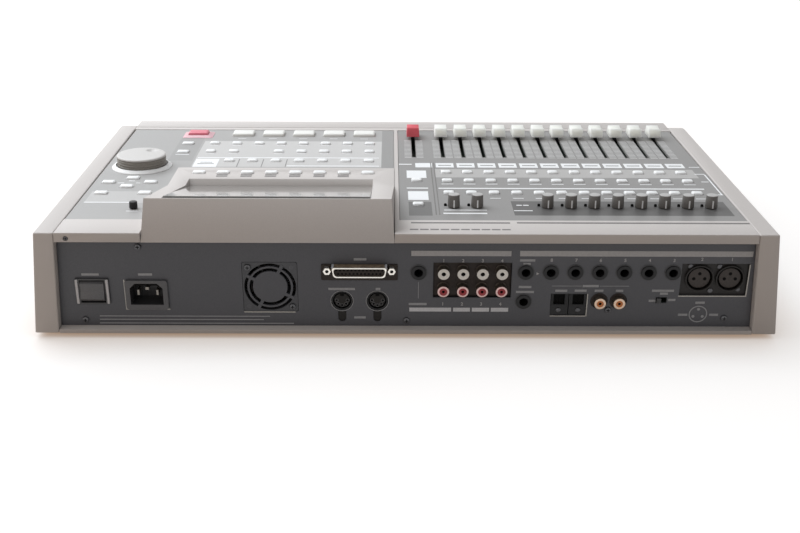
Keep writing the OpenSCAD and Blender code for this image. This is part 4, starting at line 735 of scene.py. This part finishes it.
# Control panel: a painted steel plate with screen-printed fields, a ring for the dial and a pink frame.
# It lies on the cover's steps, and its keys come up through punched holes.
control_paint = finish("control_paint", (0.39, 0.38, 0.37), (0.355, 0.345, 0.335), 0.5, 1500, 0.03, patch=7)
white_print = finish("white_print", (0.88, 0.88, 0.88), (0.82, 0.82, 0.82), 0.55, 1100, 0.02, patch=40)
paint("control_panel", control_paint)
CONTROL_KEYS = [(x, 186) for x in function_x[:7]]
CONTROL_KEYS += [(x, 215) for x in np.delete(function_x, 5)]
CONTROL_KEYS += [(x, 241.6) for x in function_x]
CURSOR_KEYS = [(195, 240.1), (195, 212.5), (222.6, 133.5), (239.9, 121.8), (206.3, 122.2), (223.1, 110.7),
               (239.6, 93.5), (205.4, 93.9)]
DECK_REAR = 0.17


def zoned(material, zones):
    """Screen-printed areas on object coordinates: where |x - middle| and |y - middle| are both under half the
    area's size, its tone takes the place of the one before."""
    tree = material.node_tree
    base = tree.nodes["Principled BSDF"].inputs["Base Color"]
    where = tree.nodes.new("ShaderNodeTexCoord")
    axes = tree.nodes.new("ShaderNodeSeparateXYZ")
    tree.links.new(where.outputs["Object"], axes.inputs["Vector"])
    for left, right, near, far, tone in zones:
        middle = ((left + right) / 2000, DECK_REAR - (near + far) / 2000 * deck_back[1])
        half = ((right - left) / 2000, (far - near) / 2000 * deck_back[1])
        inside = tree.nodes.new("ShaderNodeMath")
        inside.operation = "MULTIPLY"
        for axis in (0, 1):
            within = tree.nodes.new("ShaderNodeMath")
            within.operation = "COMPARE"
            within.inputs[1].default_value = middle[axis]
            within.inputs[2].default_value = half[axis]
            tree.links.new(axes.outputs[axis], within.inputs[0])
            tree.links.new(within.outputs[0], inside.inputs[axis])
        before = base.links[0].from_socket
        ink = tree.nodes.new("ShaderNodeMix")
        ink.data_type = "RGBA"
        ink.blend_type = "MULTIPLY"
        ink.inputs[7].default_value = (tone, tone, tone, 1)
        ink.clamp_result = False
        tree.links.new(inside.outputs[0], ink.inputs["Factor"])
        tree.links.new(before, ink.inputs[6])
        tree.links.new(ink.outputs[2], base)


zoned(control_paint, [(20, 181, 168, 250, 1.45), (8, 20, 30, 292, 0.74), (183, 204, 186, 262, 0.88),
                      (201, 247.5, 70, 99, 1.28)])
control_lines = [(22, 179.5, 194.6, 196.8), (22, 100.5, 170, 172.2), (188.8, 200.6, 204.6, 206.2),
                 (212, 247.6, 70.2, 72), (227.4, 232.6, 120.2, 121.6), (220, 224.6, 126, 127.4),
                 (214.4, 218, 120.2, 121.6), (202, 211, 49.6, 50.8), (160, 180, 167.2, 191.6)]
control_lines += [(x - 3.6, x + 3.6, row - 6.2, row - 5.2) for x, row in CONTROL_KEYS if row > 200]
transport_x = 36.5 + 28 * np.arange(5)
control_lines += [(x - 3.6, x + 3.6, 258.6, 259.6) for x in transport_x]
skin("control_print", marks(control_lines, PANEL), white_print)
fine_bars = [(163, 177, 176, 177.2), (165, 175, 180.4, 181.4), (142.4, 142.9, 168, 191),
             (121.6, 122.1, 168, 191), (101.2, 101.7, 168, 191)]
skin("control_fine_print", marks(fine_bars, PANEL + 0.09), dark_print_and_shade)
ring_pale = finish("ring_pale", (0.88, 0.87, 0.86), (0.83, 0.82, 0.81), 0.45, 1500, 0.04, patch=20)
dial_ring = turned([(24.95, PANEL + 0.02), (24.95, 0.0), (24.6, 0.3), (22.5, 2.02), (21.7, 2.15), (21.4, 1.9),
                    (21.38, PANEL + 0.02)], 96)
skin("dial_ring", [on_deck(dial_ring, dial_seat[0], DIAL_ROW)], ring_pale, loop=True)
frame_pink = finish("frame_pink", (0.74, 0.45, 0.49), (0.68, 0.39, 0.43), 0.4, 1200, 0.03, patch=60)
RECORD = (189.8, 270.5)
record_frame = stacked([rounded(27.3, 20.8, 1.6), rounded(27.3, 20.8, 1.6), rounded(20.4, 13.9, 0.9),
                        rounded(19.8, 13.3, 0.8), rounded(18.65, 12.15, 0.7), rounded(18.65, 12.15, 0.7)],
                       [PANEL + 0.02, PANEL + 0.28, PANEL + 1.6, PANEL + 1.72, PANEL + 1.7, PANEL + 0.02])
skin("record_frame", [on_deck(record_frame, *RECORD)], frame_pink, loop=True)

# Keys of the control side: white keys for the rows and the cursor, larger wedge keys for transport,
# and a red record key. All are mouldings on dome switches.
panel_key = key_stack(8.4, 6, 1.8, PANEL, 2)
cursor_key = key_stack(10.2, 6, 1.8, PANEL, 2)
skin("control_key_caps", [on_deck(panel_key, *spot) for spot in CONTROL_KEYS], key_white,
     "control_keys", "control_keys")
skin("cursor_key_caps", [on_deck(cursor_key, *spot) for spot in CURSOR_KEYS], key_white,
     "cursor_keys", "cursor_keys")
transport_ivory = finish("transport_ivory", (0.86, 0.85, 0.81), (0.81, 0.8, 0.76), 0.42, 900, 0.03, patch=30)
TRANSPORT_ROW = 273.5
wide_key = key_stack(19.5, 14, 2.8, PANEL, 2, 0.6)
for k, x in enumerate(transport_x):
    name = f"transport_key_{k + 1}"
    skin(name + "_cap", [on_deck(wide_key, x, TRANSPORT_ROW)], transport_ivory, name, name)
record_red = finish("record_red", (0.78, 0.2, 0.26), (0.7, 0.15, 0.205), 0.3, 900, 0.03, patch=60)
record_cap = key_stack(18, 11.5, 4, PANEL, 2, 0.6)
skin("record_key_cap", [on_deck(record_cap, *RECORD)], record_red, "record_key", "record_key")

# Jog dial: a pale moulded top with a finger dimple over a grey-brown grip with turned grooves.
# It sits on the encoder's shaft inside the ring.
DIAL_R = 20.5
grip_dark = finish("grip_dark", (0.27, 0.25, 0.22), (0.19, 0.175, 0.155), 0.5, 1200, 0.05, patch=60)
dial_pale = finish("dial_pale", (0.62, 0.595, 0.575), (0.56, 0.54, 0.52), 0.48, 1500, 0.04, patch=25)
groove = np.linspace(0.3, 8.6, 31)
grip_profile = [(3, -9.8), (3, 0.2), (DIAL_R - 0.8, 0.2)]
grip_profile += list(zip(DIAL_R - 0.45 + 0.3 * np.cos(2 * np.pi * groove / 2.3), groove))
grip_profile += [(DIAL_R - 1, 8.8), (4, 8.9)]
skin("dial_grip", [on_deck(turned(grip_profile, 96), dial_seat[0], DIAL_ROW)], grip_dark,
     "jog_dial", "jog_dial")
angle = np.linspace(0, 2 * np.pi, 96, endpoint=False)
radii = np.concatenate([[DIAL_R - 0.6, DIAL_R - 0.05, DIAL_R, DIAL_R - 0.25, DIAL_R - 0.9],
                        np.linspace(DIAL_R - 1.8, 0.3, 30)])
rim_height = np.concatenate([[8.85, 8.95, 9.5, 10.05, 10.4], 10.5 + 0.3 * (1 - (radii[5:] / DIAL_R) ** 2)])
top_x, top_y = radii[:, None] * np.cos(angle), radii[:, None] * np.sin(angle)
dimple = np.clip(1 - ((top_x + 7.05) ** 2 + (top_y + 10.45) ** 2) / 4.9 ** 2, 0, None)
top_z = rim_height[:, None] - 1.9 * dimple
skin("dial_top", [on_deck(np.stack([top_x, top_y, top_z], -1), dial_seat[0], DIAL_ROW)], dial_pale,
     "jog_dial", sharp=50)


# Contrast knob: a small black moulding with fine ribs round its side.
# It is pressed on the shaft of its own potentiometer, beside the hood.
def ribbed(profile, ribs, depth, sides):
    """A turned stack whose radius swells by depth cos(ribs a) along the marked part of the profile."""
    stack = turned([(radius, height) for radius, height, _ in profile], sides)
    wave = 1 + depth * np.cos(ribs * np.linspace(0, 2 * np.pi, sides, endpoint=False))
    marked = np.array([mark for _, _, mark in profile])[:, None]
    stack[..., :2] *= np.where(marked, wave, 1)[..., None]
    return stack


knob_black = finish("knob_black", (0.012, 0.012, 0.013), (0.006, 0.006, 0.007), 0.4, 900, 0.04, gloss=0.3)
CONTRAST = (206.5, 56.5)
contrast = [(1.5, -9.8, 0), (1.5, 0.2, 0), (2.9, 0.2, 0), (3.15, 0.5, 1), (3.0, 4.8, 1), (2.7, 5.25, 0),
            (0.8, 5.4, 0)]
skin("contrast_knob_cap", [on_deck(ribbed(contrast, 14, 0.025, 84), *CONTRAST)], knob_black,
     "contrast_knob", "contrast_knob")

# Mixer panel: the second painted plate, with label boxes, tick lines and a dark band behind the knobs.
# It lies on the cover's steps beside the rib.
mixer_paint = finish("mixer_paint", (0.275, 0.266, 0.258), (0.24, 0.232, 0.225), 0.5, 1500, 0.03, patch=9)
paint("mixer_panel", mixer_paint)
zoned(mixer_paint, [(-243, -25, 139.5, 163.5, 1.7), (-246, -81, 43, 77, 0.34),
                    (-19.4, -1.8, 41.8, 74.7, 0.5)])
channel_x = -34 - 17.9 * np.arange(12)
MASTER_X = -8.5
mixer_lines = [(x - 7.6, x + 7.6, 168, 181) for x in channel_x]
mixer_lines += [(-23.3, -9, 168, 181), (-6, 5, 176, 178.4), (-17.6, -1.3, 137.6, 158.6),
                (-18, -0.9, 108.6, 111), (-17.6, -1.7, 79.4, 101.5), (-239.6, -26.3, 108.2, 110.8),
                (-61, -28.4, 54.2, 55.8), (-60.6, -27.6, 46, 48.6), (-93.8, -89.6, 66, 68),
                (-88.6, -84.4, 66, 68), (-95.6, -81.4, 53.2, 54.8), (-251, -242, 170.2, 171.8),
                (-249.8, -242, 149.8, 151.4), (-248.2, -242.2, 128.2, 129.8), (-250.8, -246, 93.8, 95.4),
                (-250.6, -249.4, 95.4, 149.8)]
mixer_lines += [(x - 4.8, x + 4.8, 120.4, 121.8) for x in channel_x]
mixer_lines += [(x - 4.2, x + 4.2, 83.6, 84.8) for x in channel_x[2:]]
skin("mixer_print", marks(mixer_lines, PANEL), white_print)
tick_print = finish("tick_print", (0.68, 0.67, 0.66), (0.6, 0.59, 0.58), 0.55, 1100, 0.02, patch=40)
tick_rows = 197.5 + 4.3 * np.arange(14)
ticks = [(x + s * 5.3 - 3, x + s * 5.3 + 3, row, row + 1.2) for x in np.append(channel_x, MASTER_X)
         for s in (-1, 1) for row in tick_rows]
skin("fader_ticks", marks(ticks, PANEL), tick_print)
dividers = [(-22.6, -21.8, 44, 182), (-25.2, -24.4, 44, 182)]
dividers += [(x - 5.4, x + 5.4, 173.4, 175) for x in channel_x]
skin("mixer_dark_print", marks(dividers, PANEL + 0.09), dark_print_and_shade)

# Keys of the mixer side: three rows of white keys, one to a channel, and two behind the master fader.
# They are the same mouldings on dome switches as the keys of the control side.
MIXER_KEYS = [(x, row) for row in (97.2, 129.3, 153.4) for x in channel_x] + [(-9.1, 68.2), (-9.1, 130.3)]
skin("mixer_key_caps", [on_deck(panel_key, *spot) for spot in MIXER_KEYS], key_white,
     "mixer_keys", "mixer_keys")

# Faders: ivory caps with a saddle for the finger on black stems, whose black also stands for the shade under
# the caps, and a red master cap.
# Each cap is pushed on its stem, which slides in the track under its slot.
ivory = finish("ivory_cap", (0.92, 0.915, 0.84), (0.88, 0.875, 0.8), 0.45, 1100, 0.04, patch=30)
translucent(ivory, 6)
cap_red = finish("cap_red", (0.72, 0.1, 0.13), (0.64, 0.075, 0.1), 0.42, 1100, 0.04, patch=40)
FADER_ROW = 264.6
# Each stem is black, partly its own colour and partly painted shade under the cap.
stem = plate(-1.46, 1.46, -3.06, 3.06, -9.65, 2.55)
fader_places = {f"fader_{k + 1}": channel_x[k] for k in range(12)}
dressed("fader_master", 0.7, cap_red, "fader_master", 3)
for name in fader_places:
    dressed(name, 0.7, ivory, name, 3)
fader_places["fader_master"] = MASTER_X
for name, x in fader_places.items():
    skin(name + "_stem", [on_deck(stem, x, FADER_ROW)], jack_black, name)

# Knobs: dark grey mouldings with fine ribs, a pale top plate and a white pointer at the rear.
# Each is pushed on a potentiometer's shaft.
knob_grey = finish("knob_grey", (0.16, 0.15, 0.14), (0.115, 0.107, 0.1), 0.5, 1100, 0.04, patch=60)
knob_pale = finish("knob_pale", (0.5, 0.485, 0.47), (0.42, 0.41, 0.4), 0.45, 1100, 0.03, patch=60)
knob = [(3, -9.8, 0), (3, 0.2, 0), (4.55, 0.2, 0), (4.68, 0.5, 1), (4.3, 9.2, 1), (4.1, 9.6, 0),
        (3.4, 9.75, 0), (0.8, 9.8, 0)]
knob_body = ribbed(knob, 22, 0.012, 132)
knob_top = turned([(4.15, 9.4), (4.15, 9.8), (3.9, 10), (2, 10.08), (0.4, 10.1)])
pointer = np.array([[(-0.5, 4.45, 0.5), (0.5, 4.45, 0.5), (0.5, 4.95, 0.5), (-0.5, 4.95, 0.5)],
                    [(-0.5, 4.2, 6.4), (0.5, 4.2, 6.4), (0.5, 4.72, 6.4), (-0.5, 4.72, 6.4)]])
knob_places = {f"monitor_knob_{k + 1}": channel_x[k] - 2.1 for k in range(2)}
knob_places.update({f"trim_knob_{k + 1}": channel_x[k + 4] - 2.1 for k in range(8)})
KNOB_ROW = 62.6
for name, x in knob_places.items():
    skin(name + "_body", [on_deck(knob_body, x, KNOB_ROW)], knob_grey, name, name)
    skin(name + "_top", [on_deck(knob_top, x, KNOB_ROW)], knob_pale, name)
    skin(name + "_pointer", [on_deck(pointer, x, KNOB_ROW)], white_print, name)
stop_profile = [(1.15, PANEL - 0.05), (1.15, PANEL + 1.2), (0.8, PANEL + 1.7), (0.3, PANEL + 1.8)]
stop = turned(stop_profile, 14) + [6.2, -3, 0]
skin("knob_stop_marks", [on_deck(stop, x, KNOB_ROW) for x in knob_places.values()], black_and_hole_shade)
